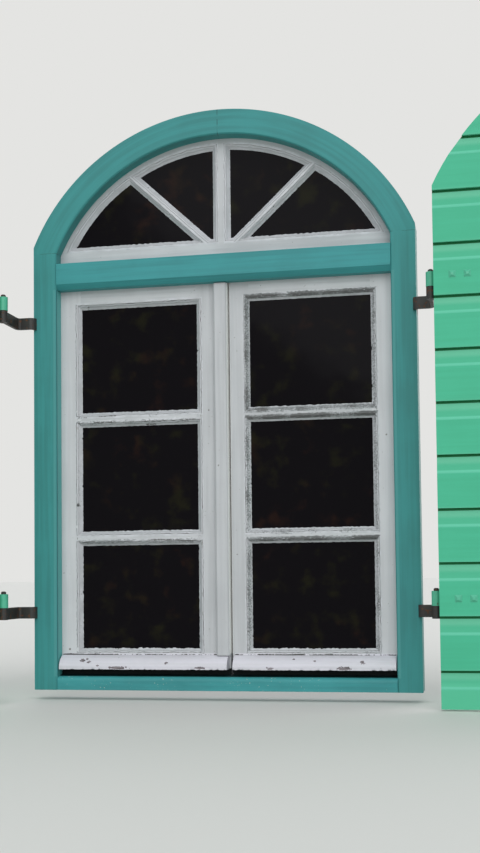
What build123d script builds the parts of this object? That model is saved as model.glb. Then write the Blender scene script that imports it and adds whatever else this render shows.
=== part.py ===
from build123d import *
from math import atan, cos, degrees, radians, sin, sqrt
import os

# Arched window: a painted frame with a pair of casements that open into the room, a fixed fanlight
# over a transom, and a pair of boarded shutters on strap hinges outside.
# Millimetres. X runs along the facade, Y from outside towards the room, Z up.
# The origin is the middle of the sill's underside, halfway through the frame's depth.
# The casements are drawn shut and the shutters folded back, as the window stands by day.

# Frame
frame_w = 1000.0         # over both jambs
jamb_face = 62.0         # jamb seen from outside
stop_t = 37.0            # thickness of the outer stop that the casements shut against
rebate_w = 13.0          # depth of the rebate behind the stop
face_gap = 1.0           # stop to shut casement
edge_gap = 3.0           # round the shut casements
arris = 3.0              # softened front edge of the jambs and the head
sill_floor_h = 22.0      # rebate floor of the sill
sill_h = 36.0            # front edge of the sill's stop
sill_fall = 3.0          # how far the stop's top drops towards the front
transom_h = 72.0         # transom seen from outside
transom_chamfer = 13.0   # under the transom's front edge
transom_fall = 4.0       # how far the transom's top drops towards the front
top_lap = 11.0           # transom stop over the casements' top rails
head_face = 64.0         # arched head seen from outside
spring_up = 24.0         # springing of the arch over the transom's top
arch_rise = 284.0        # crown over springing, inside
frame_tenon = 28.0       # transom tenon into each jamb

# Casements
leaf_t = 44.0            # thickness of the casements and of the fanlight
hinge_stile = 65.0       # outer edge to glass sight line
sight_x = 70.0           # window centre line to the glass of either leaf
meeting_edge = 14.5      # left leaf's edge, right of the centre line
meeting_gap = 5.0        # room that the corners need as a leaf swings past the other
bottom_rail = 80.0
top_rail = 59.0
glazing_bar = 38.0
pane_heights = (268.0, 275.0, 276.0)   # bottom pane first
glass_t = 3.0
glass_clear = 1.5        # glass edge to rebate
putty_w = 10.0           # face width of the putty, and width of the glass rebate
putty_t = 12.0           # glass face to wood face
putty_lip = 0.6          # blunt outer edge of the putty
room_chamfer = 5.0       # room-side edge round each pane
tenon_t = 14.0
tenon_back = 2.0         # wood between glass rebate and tenon
tenon_len = 30.0
stub_tenon = 12.0        # glazing bars

# Meeting strip and drip boards
strip_w = 35.0
strip_t = 16.0
strip_chamfer = 4.0
strip_clear = 2.0        # below the transom
drip_reach = 35.0        # out of the casement's face
drip_h = 35.0
drip_lift = 28.0         # underside over the casement's bottom edge
drip_nose = 9.0          # upright front edge
drip_ledge = 6.0         # flat at the back of its top
drip_belly = (0.7, 0.6)  # middle of its curved top: share of its reach, share of the fall
drip_side = 3.0          # to the jamb
drip_meet = 5.0          # back from the meeting edge
throat = 4.0             # drip groove, width and depth

# Fanlight
fan_lap = 10.0           # transom's upstand in front of the fanlight
fan_gap = 0.3            # round the fanlight in the frame's rebate
fan_rail_show = 48.0     # bottom rail seen over the transom
fan_rim_show = 26.0      # rim seen inside the arched head
fan_centre_bar = 46.0
fan_bar = 30.0
fan_angle = 43.0         # slanting bars, from level

# Casement hinges and catch
hinge_h = 72.0
hinge_reach = 30.0       # plate edge from the pin's centre
plate_t = 2.5
knuckle_r = 5.5
knuckle_lift = 0.1       # knuckle clear of the frame's room face
knuckle_notch = 1.0      # flap cut back beside the other flap's knuckles
hinge_pin_r = 3.0
pin_head_r = 5.0
pin_head_h = 3.0
pin_head_chamfer = 1.5
knuckle_gap = 0.3
pin_fit = 0.05           # running clearance on the radius
hinge_inset = 170.0      # hinge centre from the leaf's top and bottom
catch_z = 560.0          # turning catch over the sill bed
catch_x = 44.0
catch_plate_w = 24.0
catch_plate_h = 62.0
catch_plate_corner = 5.0
spindle_r = 5.0
lever_t = 6.0
lever_len = 66.0
lever_hub_r = 10.0
lever_tip_r = 7.0
lever_waist = 5.0        # half the lever's width at the hub
lever_neck = 4.0         # half its width at the tip
lever_chamfer = 1.5
lever_gap = 0.5
keeper_w = 32.0
keeper_h = 26.0
keeper_t = 2.5
keeper_in = 26.0         # keeper's middle from the leaf's meeting edge
keeper_chamfer = 1.0

# Shutters
board_pitch = 125.0
board_t = 20.0
board_lip = 9.0          # front lip over the tongue below it
tongue_t = 6.0
tongue_h = 8.0
tongue_fit = 0.3
cove_h = 36.0            # hollow along each board's top
cove_d = 7.0
cove_belly = (0.72, 0.4)  # middle of the hollow's curve: share of its depth, share of its height
shadow_h = 6.0           # open line between a hollow and the board over it
lowest_groove = 67.0     # height of the lowest open line
shutter_foot = -22.0     # bottom edge of the shutters
shutter_lap = 46.0       # shutter over the arched head, when shut
shutter_meet = 2.5       # meeting edge to the centre line, when shut
batten_w = 70.0
batten_t = 22.0
batten_inset = 26.0      # from the shutter's upright edges
batten_end = 34.0        # from its bottom and top
batten_chamfer = 3.0

# Strap hinges and pintles
pivot_out = 40.0         # pivot beside the frame's edge
pivot_front = 110.5      # pivot in front of the frame's face
pivot_edge = 8.0         # pivot to the shutter's edge
strap_t = 5.0
strap_h = 35.0
strap_tip_h = 22.0
strap_zs = (232.5, 990.0)
pintle_r = 6.5
pintle_top = 7.0         # pin above the strap's eye
pintle_chamfer = 2.3
pintle_boss_r = 11.0
pintle_bar_t = 8.0
pintle_bar_h = 30.0
pintle_bend_r = 11.0
pintle_step = 13.0       # bar turns outwards this far in front of the frame's face
pintle_tail = 77.0       # length let into the jamb's side
eye_clear = 0.3          # eye over the pintle's shoulder
rivet_w = 8.0            # square shank through the boards, the batten and the strap
rivet_fit = 0.2
rivet_head_w = 17.0
rivet_head_h = 4.5
rivet_crown_w = 6.0      # small flat on top of the head
rivet_end_w = 13.0       # end hammered over the strap
rivet_end_h = 3.5
nail_w = 7.0             # square forged nails through the pintles' tails
nail_tip_w = 3.0
nail_len = 42.0
nail_head_w = 13.0
nail_head_h = 3.0
nail_ys = (-8.0, 22.0)

# Fixings of the frame
fixing_r = 4.5
fixing_y = 18.0
fixing_zs = (330.0, 830.0)

# Places that follow from these
frame_t = stop_t + face_gap + leaf_t
y_front = -frame_t / 2
y_back = frame_t / 2
stop_y = y_front + stop_t
leaf_y = stop_y + face_gap
half_w = frame_w / 2
clear_x = half_w - jamb_face
rebate_x = clear_x + rebate_w
leaf_x = rebate_x - edge_gap
leaf_z0 = sill_floor_h + edge_gap
leaf_z1 = leaf_z0 + bottom_rail + sum(pane_heights) + 2 * glazing_bar + top_rail
transom_z0 = leaf_z1 - top_lap
transom_z1 = transom_z0 + transom_h
spring_z = transom_z1 + spring_up
arch_r = (clear_x**2 + arch_rise**2) / (2 * arch_rise)
arch_z = spring_z + arch_rise - arch_r
glass_x = leaf_x - hinge_stile
right_edge = meeting_edge + meeting_gap
pivot_x = half_w + pivot_out
pivot_y = y_front - pivot_front
shutter_x0 = pivot_x + pivot_edge
shutter_w = pivot_x - pivot_edge - shutter_meet
shutter_y = pivot_y - strap_t / 2 - batten_t - board_t
shutter_r = arch_r + head_face + shutter_lap
hinge_x = leaf_x + edge_gap / 2
hinge_y = y_back + knuckle_r + knuckle_lift

os.makedirs("parts", exist_ok=True)


def write(piece, name):
    """Label a finished piece and write its file."""
    piece.label = name
    export_step(piece, f"parts/{name}.step")


def write_group(pieces, name):
    """Write several separate solids as one file."""
    write(Compound(children=[Part(piece.wrapped) for piece in pieces]), name)


def facade(y):
    """Drawing plane seen from outside at depth y: its x is X, its y is Z, and it faces -Y."""
    return Plane.XZ.offset(-y)


def mirrored(piece):
    """The same piece on the other side of the window."""
    with BuildPart() as other:
        mirror(piece, about=Plane.YZ)
    return other.part


def timber(x0, x1, z0, z1, y0, t):
    """Square-edged timber, given by its corners seen from outside."""
    with BuildPart() as blank:
        with BuildSketch(facade(y0)):
            with Locations(((x0 + x1) / 2, (z0 + z1) / 2)):
                Rectangle(x1 - x0, z1 - z0)
        extrude(amount=-t)
    return blank.part


# Fixed frame

def transom_tenon():
    """Tenon through the transom's length, used to cut its mortises too."""
    z0 = leaf_z1 + edge_gap + rebate_w
    z1 = transom_z1 - fan_lap - rebate_w
    reach = rebate_x + frame_tenon
    return timber(-reach, reach, z0, z1, stop_y + tenon_t, tenon_t)


def jamb():
    """Right jamb: a stop outside, a rebate behind it, a mortise, screw holes and the pintles' housings."""
    with BuildPart() as post:
        with BuildSketch(Plane.XY):
            with BuildLine():
                Polyline(
                    (clear_x, stop_y),
                    (clear_x, y_front + arris),
                    (clear_x + arris, y_front),
                    (half_w, y_front),
                    (half_w, y_back),
                    (rebate_x, y_back),
                    (rebate_x, stop_y),
                    close=True,
                )
            make_face()
        extrude(amount=spring_z)
        add(transom_tenon(), mode=Mode.SUBTRACT)
        with BuildSketch(Plane.YZ.offset(half_w)):
            with Locations(*[(fixing_y, z) for z in fixing_zs]):
                Circle(fixing_r)
        extrude(amount=-(half_w - rebate_x), mode=Mode.SUBTRACT)
        for z in strap_zs:
            add(pintle_housing(z), mode=Mode.SUBTRACT)
        for y, z in nail_places():
            add(pintle_nail(y, z), mode=Mode.SUBTRACT)
    return post.part


def sill():
    """Sill between the jambs, with a sloped stop in front and a rebate floor behind."""
    with BuildPart() as board:
        with BuildSketch(Plane.YZ):
            with BuildLine():
                Polyline(
                    (y_front, 0),
                    (stop_y, 0),
                    (stop_y, sill_h + sill_fall),
                    (y_front + arris, sill_h),
                    (y_front, sill_h - arris),
                    close=True,
                )
            make_face()
        extrude(amount=clear_x, both=True)
        with BuildSketch(Plane.YZ):
            with Locations(((stop_y + y_back) / 2, sill_floor_h / 2)):
                Rectangle(y_back - stop_y, sill_floor_h)
        extrude(amount=rebate_x, both=True)
    return board.part


def transom():
    """Transom tenoned into the jambs: stops outside, rebates for the casements and the fanlight."""
    with BuildPart() as rail:
        with BuildSketch(Plane.YZ):
            with BuildLine():
                Polyline(
                    (y_front, transom_z0 + transom_chamfer),
                    (y_front, transom_z1 - transom_fall),
                    (stop_y, transom_z1),
                    (stop_y, transom_z0),
                    (y_front + transom_chamfer, transom_z0),
                    close=True,
                )
            make_face()
        extrude(amount=clear_x, both=True)
        z0 = leaf_z1 + edge_gap
        z1 = transom_z1 - fan_lap
        with BuildSketch(Plane.YZ):
            with Locations(((stop_y + y_back) / 2, (z0 + z1) / 2)):
                Rectangle(y_back - stop_y, z1 - z0)
        extrude(amount=rebate_x, both=True)
        add(transom_tenon())
    return rail.part


def arch_disc(radius):
    """Disc about the arch's centre, drawn from outside."""
    with BuildSketch() as disc:
        with Locations((0, arch_z)):
            Circle(radius)
    return disc.sketch


def head_outline(radius, side, foot):
    """Right half of an arched shape of this radius, cut off at its upright side and at its foot."""
    top = arch_z + radius
    with BuildSketch() as outline:
        add(arch_disc(radius))
        with Locations((side / 2, (foot + top) / 2)):
            Rectangle(side, top - foot, mode=Mode.INTERSECT)
    return outline.sketch


def head():
    """Right half of the arched head, sawn from one board, with its rebate and softened edge."""
    with BuildPart() as felloe:
        with BuildSketch(facade(y_front)):
            add(head_outline(arch_r + head_face, half_w, spring_z))
            add(arch_disc(arch_r), mode=Mode.SUBTRACT)
        extrude(amount=-frame_t)
        with BuildSketch(facade(stop_y)):
            add(head_outline(arch_r + rebate_w, rebate_x, spring_z))
        extrude(amount=-(y_back - stop_y), mode=Mode.SUBTRACT)
        with BuildSketch(facade(y_front)):
            add(arch_disc(arch_r + arris))
        extrude(amount=-arris, taper=45, mode=Mode.SUBTRACT)
    return felloe.part


# Glazing

def glazing_cutter(panes, face_y):
    """What the openings take out of the wood: a glass rebate outside and a chamfer in the room."""
    with BuildPart() as cutter:
        with BuildSketch(facade(face_y)):
            offset(panes, amount=putty_w, kind=Kind.INTERSECTION)
        extrude(amount=-(putty_t + glass_t))
        with BuildSketch(facade(face_y + leaf_t)):
            offset(panes, amount=room_chamfer, kind=Kind.INTERSECTION)
        extrude(amount=room_chamfer, taper=45)
    return cutter.part


def glass(panes, face_y):
    """One sheet of glass for each opening, bedded against the rebate."""
    sheets = []
    for pane in panes.faces():
        with BuildPart() as sheet:
            with BuildSketch(facade(face_y + putty_t)):
                offset(pane, amount=putty_w - glass_clear, kind=Kind.INTERSECTION)
            extrude(amount=-glass_t)
        sheets.append(sheet.part)
    return sheets


def putty(panes, face_y):
    """A mitred fillet of putty round each opening, sloped from the wood's face down to the glass."""
    slope = degrees(atan((putty_w - putty_lip) / putty_t))
    fillets = []
    for pane in panes.faces():
        with BuildPart() as ring:
            with BuildSketch(facade(face_y)):
                offset(pane, amount=putty_w, kind=Kind.INTERSECTION)
            extrude(amount=-putty_t)
            with BuildSketch(facade(face_y)):
                offset(pane, amount=putty_w - putty_lip, kind=Kind.INTERSECTION)
            extrude(amount=-putty_t, taper=slope, mode=Mode.SUBTRACT)
        fillets.append(ring.part)
    return fillets


# Casements

def rail_levels():
    """Bottom and top of the two rails and the two glazing bars, from the bottom up."""
    levels = [(leaf_z0, leaf_z0 + bottom_rail)]
    for height in pane_heights[:-1]:
        z = levels[-1][1] + height
        levels.append((z, z + glazing_bar))
    levels.append((leaf_z1 - top_rail, leaf_z1))
    return levels


def casement_panes(x0, x1):
    """The three openings of one leaf."""
    levels = rail_levels()
    with BuildSketch() as panes:
        for below, above in zip(levels, levels[1:]):
            with Locations(((x0 + x1) / 2, (below[1] + above[0]) / 2)):
                Rectangle(x1 - x0, above[0] - below[1])
    return panes.sketch


def casement_tenon(x0, x1, z0, z1, reach):
    """Tenon running the length of a rail and on into both stiles."""
    y = leaf_y + putty_t + glass_t + tenon_back
    return timber(x0 - reach, x1 + reach, z0 + putty_w, z1 - putty_w, y, tenon_t)


def casement(outer, inner, name):
    """One leaf between its hinge edge and its meeting edge; returns its openings."""
    glass_outer = glass_x if outer > 0 else -glass_x
    glass_inner = sight_x if outer > 0 else -sight_x
    x0, x1 = sorted((glass_outer, glass_inner))
    panes = casement_panes(x0, x1)
    cutter = glazing_cutter(panes, leaf_y)
    levels = rail_levels()
    reaches = [tenon_len, stub_tenon, stub_tenon, tenon_len]
    tenons = [casement_tenon(x0, x1, *level, reach) for level, reach in zip(levels, reaches)]

    for stile_name, edge, sight in (("hinge", outer, glass_outer), ("meeting", inner, glass_inner)):
        a, b = sorted((edge, sight))
        with BuildPart() as stile:
            add(timber(a, b, leaf_z0, leaf_z1, leaf_y, leaf_t))
            add(cutter, mode=Mode.SUBTRACT)
            for tenon in tenons:
                add(tenon, mode=Mode.SUBTRACT)
        write(stile.part, f"{name}_{stile_name}_stile")

    rail_names = ("bottom_rail", "lower_bar", "upper_bar", "top_rail")
    for rail_name, (z0, z1), tenon in zip(rail_names, levels, tenons):
        with BuildPart() as rail:
            add(timber(x0, x1, z0, z1, leaf_y, leaf_t))
            add(cutter, mode=Mode.SUBTRACT)
            add(tenon)
        write(rail.part, f"{name}_{rail_name}")

    write_group(glass(panes, leaf_y), f"{name}_glass")
    write_group(putty(panes, leaf_y), f"{name}_putty")


def drip_board(x0, x1):
    """Weather board across a leaf's foot, with a rounded fall and a drip groove under its nose."""
    z0 = leaf_z0 + drip_lift
    z1 = z0 + drip_h
    nose_y = leaf_y - drip_reach
    nose_z = z0 + drip_nose
    belly = (leaf_y - drip_reach * drip_belly[0], nose_z + (z1 - nose_z) * drip_belly[1])
    with BuildPart() as board:
        with BuildSketch(Plane.YZ.offset(x0)):
            with BuildLine():
                Polyline(
                    (nose_y, nose_z),
                    (nose_y, z0),
                    (nose_y + throat, z0),
                    (nose_y + throat, z0 + throat),
                    (nose_y + 2 * throat, z0 + throat),
                    (nose_y + 2 * throat, z0),
                    (leaf_y, z0),
                    (leaf_y, z1),
                    (leaf_y - drip_ledge, z1),
                )
                ThreePointArc(
                    (leaf_y - drip_ledge, z1),
                    belly,
                    (nose_y, nose_z),
                )
            make_face()
        extrude(amount=x1 - x0)
    return board.part


def meeting_strip():
    """Cover strip planted on the left leaf's meeting stile, from its drip board to the transom."""
    z0 = leaf_z0 + drip_lift + drip_h
    with BuildPart() as strip:
        with BuildSketch(Plane.XY.offset(z0)):
            with BuildLine():
                Polyline(
                    (meeting_edge - strip_w, leaf_y),
                    (meeting_edge - strip_w, leaf_y - strip_t + strip_chamfer),
                    (meeting_edge - strip_w + strip_chamfer, leaf_y - strip_t),
                    (meeting_edge - strip_chamfer, leaf_y - strip_t),
                    (meeting_edge, leaf_y - strip_t + strip_chamfer),
                    (meeting_edge, leaf_y),
                    close=True,
                )
            make_face()
        extrude(amount=transom_z0 - strip_clear - z0)
    return strip.part


# Fanlight

fan_sight_z = transom_z1 + fan_rail_show
fan_sight_r = arch_r - fan_rim_show


def fan_field():
    """All that lies inside the fanlight's rim and over its bottom rail, bars included."""
    top = arch_z + fan_sight_r
    with BuildSketch() as field:
        add(arch_disc(fan_sight_r))
        with Locations((0, (fan_sight_z + top) / 2)):
            Rectangle(2 * fan_sight_r, top - fan_sight_z, mode=Mode.INTERSECT)
    return field.sketch


def fan_panes():
    """Four openings, parted by a centre bar and two bars that fan out from the transom's middle."""
    with BuildSketch() as panes:
        add(fan_field())
        with Locations((0, arch_z)):
            Rectangle(fan_centre_bar, 4 * fan_sight_r, mode=Mode.SUBTRACT)
        for angle in (fan_angle, 180 - fan_angle):
            run = fan_sight_r / 2
            middle = (run * cos(radians(angle)), transom_z1 + run * sin(radians(angle)))
            with Locations(Location((*middle, 0), (0, 0, angle))):
                Rectangle(2 * run, fan_bar, mode=Mode.SUBTRACT)
    return panes.sketch


def fan_piece(outline, cutter):
    """One wooden member of the fanlight, cut from its outline and rebated for the glass."""
    with BuildPart() as member:
        with BuildSketch(facade(stop_y)):
            add(outline)
        extrude(amount=-leaf_t)
        add(cutter, mode=Mode.SUBTRACT)
    return member.part


def fan_half_rim():
    """Outline of the right half of the rim, standing on the bottom rail."""
    with BuildSketch() as rim:
        add(head_outline(arch_r + rebate_w - fan_gap, rebate_x - fan_gap, fan_sight_z))
        add(arch_disc(fan_sight_r), mode=Mode.SUBTRACT)
    return rim.sketch


def fan_rail_outline():
    """Outline of the bottom rail, with its upper corners following the arch."""
    foot = transom_z1 - fan_lap
    half = rebate_x - fan_gap
    with BuildSketch() as rail:
        add(arch_disc(arch_r + rebate_w - fan_gap))
        with Locations((0, (foot + fan_sight_z) / 2)):
            Rectangle(2 * half, fan_sight_z - foot, mode=Mode.INTERSECT)
    return rail.sketch


def fan_bars():
    """Outlines of the centre bar and of the right slanting bar."""
    with BuildSketch() as centre:
        add(fan_field())
        with Locations((0, arch_z)):
            Rectangle(fan_centre_bar, 4 * fan_sight_r, mode=Mode.INTERSECT)
    with BuildSketch() as slant:
        add(fan_field())
        add(fan_panes(), mode=Mode.SUBTRACT)
        with Locations((fan_centre_bar / 2 + fan_sight_r, arch_z)):
            Rectangle(2 * fan_sight_r, 4 * fan_sight_r, mode=Mode.INTERSECT)
    return centre.sketch, slant.sketch


# Casement hinges

def knuckle_levels(z):
    """Bottom and top of a hinge's three knuckles."""
    height = (hinge_h - 2 * knuckle_gap) / 3
    lows = [z - hinge_h / 2 + i * (height + knuckle_gap) for i in range(3)]
    return [(low, low + height) for low in lows]


def hinge_flap(z, direction, knuckles):
    """Half of a butt hinge on the room side of the right leaf: direction 1 lies on the jamb."""
    levels = knuckle_levels(z)
    inner = knuckle_r + knuckle_notch
    with BuildPart() as flap:
        with BuildSketch(Plane.XY.offset(z - hinge_h / 2)):
            with Locations((hinge_x + direction * (inner + hinge_reach) / 2, y_back + plate_t / 2)):
                Rectangle(hinge_reach - inner, plate_t)
        extrude(amount=hinge_h)
        for index in knuckles:
            low, high = levels[index]
            with BuildSketch(Plane.XY.offset(low)):
                with Locations((hinge_x, hinge_y)):
                    Circle(knuckle_r)
                with Locations((hinge_x + direction * inner / 2, y_back + plate_t / 2)):
                    Rectangle(inner, plate_t)
            extrude(amount=high - low)
        with BuildSketch(Plane.XY.offset(z - hinge_h / 2)):
            with Locations((hinge_x, hinge_y)):
                Circle(hinge_pin_r + pin_fit)
        extrude(amount=hinge_h, mode=Mode.SUBTRACT)
    return flap.part


def hinge_pin(z):
    """Loose pin with a button head resting on the top knuckle."""
    top = z + hinge_h / 2
    with BuildPart() as pin:
        with BuildSketch(Plane.XY.offset(z - hinge_h / 2)):
            with Locations((hinge_x, hinge_y)):
                Circle(hinge_pin_r)
        extrude(amount=hinge_h)
        with BuildSketch(Plane.XY.offset(top)):
            with Locations((hinge_x, hinge_y)):
                Circle(pin_head_r)
        extrude(amount=pin_head_h)
        chamfer(pin.faces().sort_by(Axis.Z)[-1].edges(), length=pin_head_chamfer)
    return pin.part


# Turning catch on the room side

def catch_plate():
    """Back plate of the catch on the right leaf, with the hole that the spindle turns in."""
    with BuildPart() as plate:
        with BuildSketch(facade(y_back)):
            with Locations((catch_x, catch_z)):
                RectangleRounded(catch_plate_w, catch_plate_h, catch_plate_corner)
        extrude(amount=-plate_t)
        with BuildSketch(facade(y_back)):
            with Locations((catch_x, catch_z)):
                Circle(spindle_r + pin_fit)
        extrude(amount=-plate_t, mode=Mode.SUBTRACT)
    return plate.part


def catch_lever():
    """Lever that hangs down when free and turns a quarter over the other leaf to lock both."""
    face = y_back + plate_t + lever_gap
    with BuildPart() as lever:
        with BuildSketch(facade(face)):
            with BuildLine():
                Polyline(
                    (catch_x - lever_waist, catch_z),
                    (catch_x - lever_neck, catch_z - lever_len),
                    (catch_x + lever_neck, catch_z - lever_len),
                    (catch_x + lever_waist, catch_z),
                    close=True,
                )
            make_face()
            with Locations((catch_x, catch_z)):
                Circle(lever_hub_r)
            with Locations((catch_x, catch_z - lever_len)):
                Circle(lever_tip_r)
        extrude(amount=-lever_t)
        chamfer(lever.faces().sort_by(Axis.Y)[-1].edges(), length=lever_chamfer)
        with BuildSketch(facade(face)):
            with Locations((catch_x, catch_z)):
                Circle(spindle_r)
        extrude(amount=face - y_back)
    return lever.part


def catch_keeper():
    """Wear plate on the left leaf that the turned lever bears on."""
    with BuildPart() as keeper:
        with BuildSketch(facade(y_back)):
            with Locations((meeting_edge - keeper_in, catch_z)):
                Rectangle(keeper_w, keeper_h)
        extrude(amount=-keeper_t)
        chamfer(keeper.faces().sort_by(Axis.Y)[-1].edges(), length=keeper_chamfer)
    return keeper.part


# Shutters, drawn for the right leaf folded back

def shutter_outline(inset):
    """Outline of the folded-back leaf, seen from outside, drawn in from its foot and its arched top."""
    x0 = shutter_x0
    x1 = shutter_x0 + shutter_w
    z0 = shutter_foot + inset
    centre_x = 2 * pivot_x
    with BuildSketch() as outline:
        with Locations((centre_x, arch_z)):
            Circle(shutter_r - inset)
        with Locations((centre_x, (arch_z + z0) / 2)):
            Rectangle(2 * (shutter_r - inset), arch_z - z0)
        top = arch_z + shutter_r
        with Locations(((x0 + x1) / 2, (z0 + top) / 2)):
            Rectangle(x1 - x0, top - z0, mode=Mode.INTERSECT)
    return outline.sketch


def rivet_places():
    """Where the rivets pass through the shutter: X and Z of each, the last one at the strap's tip."""
    x_hinge = shutter_x0 + batten_inset + batten_w / 2
    x_far = shutter_x0 + shutter_w - batten_inset - batten_w / 2
    spread = batten_w / 4
    return [(x, z) for z in strap_zs for x in (x_hinge - spread, x_hinge + spread, x_far)]


def punch_shutter(y0, depth):
    """Cut the rivets' square holes through the piece being made."""
    with BuildSketch(facade(y0)) as holes:
        with Locations(*rivet_places()):
            Rectangle(rivet_w + 2 * rivet_fit, rivet_w + 2 * rivet_fit)
    extrude(holes.sketch, amount=-depth, mode=Mode.SUBTRACT)


def shutter_board(foot):
    """One board with a hollow along its top edge, a tongue over it and a groove beneath."""
    face = shutter_y
    shoulder = foot + board_pitch
    cove_top = shoulder - shadow_h
    cove_foot = cove_top - cove_h
    tongue_y = face + board_lip
    back = face + board_t
    slot0 = tongue_y - tongue_fit
    slot1 = tongue_y + tongue_t + tongue_fit
    slot_top = foot + tongue_h + tongue_fit
    with BuildPart() as board:
        with BuildSketch(Plane.YZ.offset(shutter_x0)):
            with BuildLine():
                Line((face, foot), (face, cove_foot))
                ThreePointArc(
                    (face, cove_foot),
                    (face + cove_d * cove_belly[0], cove_foot + cove_h * cove_belly[1]),
                    (face + cove_d, cove_top),
                )
                Polyline(
                    (face + cove_d, cove_top),
                    (tongue_y, cove_top),
                    (tongue_y, shoulder + tongue_h),
                    (tongue_y + tongue_t, shoulder + tongue_h),
                    (tongue_y + tongue_t, shoulder),
                    (back, shoulder),
                    (back, foot),
                    (slot1, foot),
                    (slot1, slot_top),
                    (slot0, slot_top),
                    (slot0, foot),
                    (face, foot),
                )
            make_face()
        extrude(amount=shutter_w)
        with BuildSketch(facade(face)):
            add(shutter_outline(0))
        extrude(amount=-board_t, mode=Mode.INTERSECT)
        punch_shutter(face, board_t)
    return board.part


def shutter_boards():
    """All boards from the foot to the crown."""
    foot = lowest_groove - board_pitch
    crown = arch_z + shutter_r
    boards = []
    while foot < crown:
        boards.append(shutter_board(foot))
        foot += board_pitch
    return boards


def shutter_batten(x0):
    """Upright batten that the boards are nailed to, on the face away from the window's side."""
    top = arch_z + shutter_r
    with BuildPart() as batten:
        add(timber(x0, x0 + batten_w, shutter_foot, top, shutter_y + board_t, batten_t))
        with BuildSketch(facade(shutter_y + board_t)):
            add(shutter_outline(batten_end))
        extrude(amount=-batten_t, mode=Mode.INTERSECT)
        chamfer(batten.faces().sort_by(Axis.Y)[-1].edges(), length=batten_chamfer)
        punch_shutter(shutter_y + board_t, batten_t)
    return batten.part


def strap(z):
    """Forged strap with a rolled eye, tapering to a rounded tip round its last rivet."""
    y0 = pivot_y - strap_t / 2
    low = z - strap_h / 2
    eye_r = pintle_r + pin_fit + strap_t
    tip_x = rivet_places()[-1][0]
    with BuildPart() as iron:
        with BuildSketch(facade(y0)):
            with BuildLine():
                Polyline(
                    (pivot_x, low + eye_clear),
                    (pivot_x, low + strap_h),
                    (shutter_x0 + batten_inset, low + strap_h),
                    (tip_x, z + strap_tip_h / 2),
                    (tip_x, z - strap_tip_h / 2),
                    (shutter_x0 + batten_inset, low + eye_clear),
                    close=True,
                )
            make_face()
            with Locations((tip_x, z)):
                Circle(strap_tip_h / 2)
        extrude(amount=-strap_t)
        with BuildSketch(Plane.XY.offset(low + eye_clear)):
            with Locations((pivot_x, pivot_y)):
                Circle(eye_r)
        extrude(amount=strap_h - eye_clear)
        with BuildSketch(Plane.XY.offset(low)):
            with Locations((pivot_x, pivot_y)):
                Circle(pintle_r + pin_fit)
        extrude(amount=strap_h, mode=Mode.SUBTRACT)
        punch_shutter(y0, strap_t)
    return iron.part


def square_taper(base, top, height, turn):
    """Square bar tapering from base to top along Y, turned about its base."""
    edge = (base - top) / 2
    align = (Align.CENTER, Align.MIN, Align.CENTER)
    Wedge(base, height, base, edge, edge, base - edge, base - edge, rotation=turn, align=align)


def strap_rivet(x, z):
    """Forged rivet: a square shank, a faceted head on the boards and an end hammered over the strap."""
    strap_face = pivot_y + strap_t / 2
    with BuildPart() as rivet:
        add(timber(x - rivet_w / 2, x + rivet_w / 2, z - rivet_w / 2, z + rivet_w / 2,
                   shutter_y, strap_face - shutter_y))
        with Locations((x, shutter_y, z)):
            square_taper(rivet_head_w, rivet_crown_w, rivet_head_h, (180, 0, 0))
        with Locations((x, strap_face, z)):
            square_taper(rivet_end_w, rivet_w, rivet_end_h, (0, 0, 0))
    return rivet.part


# Pintles let into the jambs

def pintle_bar_z(z):
    """Middle of the pintle's bar, which ends under the strap's eye."""
    return z - strap_h / 2 - pintle_bar_h / 2


def pintle_housing(z):
    """What a pintle's tail takes out of the jamb's side, so that it lies flush."""
    middle = pintle_bar_z(z)
    z0 = middle - pintle_bar_h / 2
    return timber(half_w - pintle_bar_t, half_w, z0, z0 + pintle_bar_h, y_front, pintle_tail)


def nail_places():
    """Y and Z of the nails that hold the pintles' tails."""
    return [(y, pintle_bar_z(z)) for z in strap_zs for y in nail_ys]


def pintle_nail(y, z):
    """Square forged nail with a countersunk head, driven through a pintle's tail into the jamb."""
    with BuildPart() as nail:
        with Locations((half_w, y, z)):
            square_taper(nail_head_w, nail_w, nail_head_h, (0, 0, 90))
        with Locations((half_w - nail_head_h, y, z)):
            square_taper(nail_w, nail_tip_w, nail_len - nail_head_h, (0, 0, 90))
    return nail.part


def pintle(z):
    """Cranked flat bar let into the jamb's side, with a boss and an upright pin at its end."""
    bar_top = z - strap_h / 2
    tail_x = half_w - pintle_bar_t / 2
    step_y = y_front - pintle_step
    with BuildPart() as hook:
        with BuildSketch(Plane.XY.offset(bar_top - pintle_bar_h)):
            with BuildLine() as route:
                FilletPolyline(
                    (tail_x, y_front + pintle_tail),
                    (tail_x, step_y),
                    (pivot_x, step_y),
                    (pivot_x, pivot_y),
                    radius=pintle_bend_r,
                )
            trace(route.line, line_width=pintle_bar_t)
            with Locations((pivot_x, pivot_y)):
                Circle(pintle_boss_r)
        extrude(amount=pintle_bar_h)
        with BuildSketch(Plane.XY.offset(bar_top)):
            with Locations((pivot_x, pivot_y)):
                Circle(pintle_r)
        extrude(amount=strap_h + pintle_top)
        chamfer(hook.faces().sort_by(Axis.Z)[-1].edges(), length=pintle_chamfer)
        for y in nail_ys:
            add(pintle_nail(y, pintle_bar_z(z)), mode=Mode.SUBTRACT)
    return hook.part


# Write the frame and the fanlight

right_jamb = jamb()
right_head = head()
write(right_jamb, "right_jamb")
write(mirrored(right_jamb), "left_jamb")
write(sill(), "sill")
write(transom(), "transom")
write(right_head, "head_right")
write(mirrored(right_head), "head_left")

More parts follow.
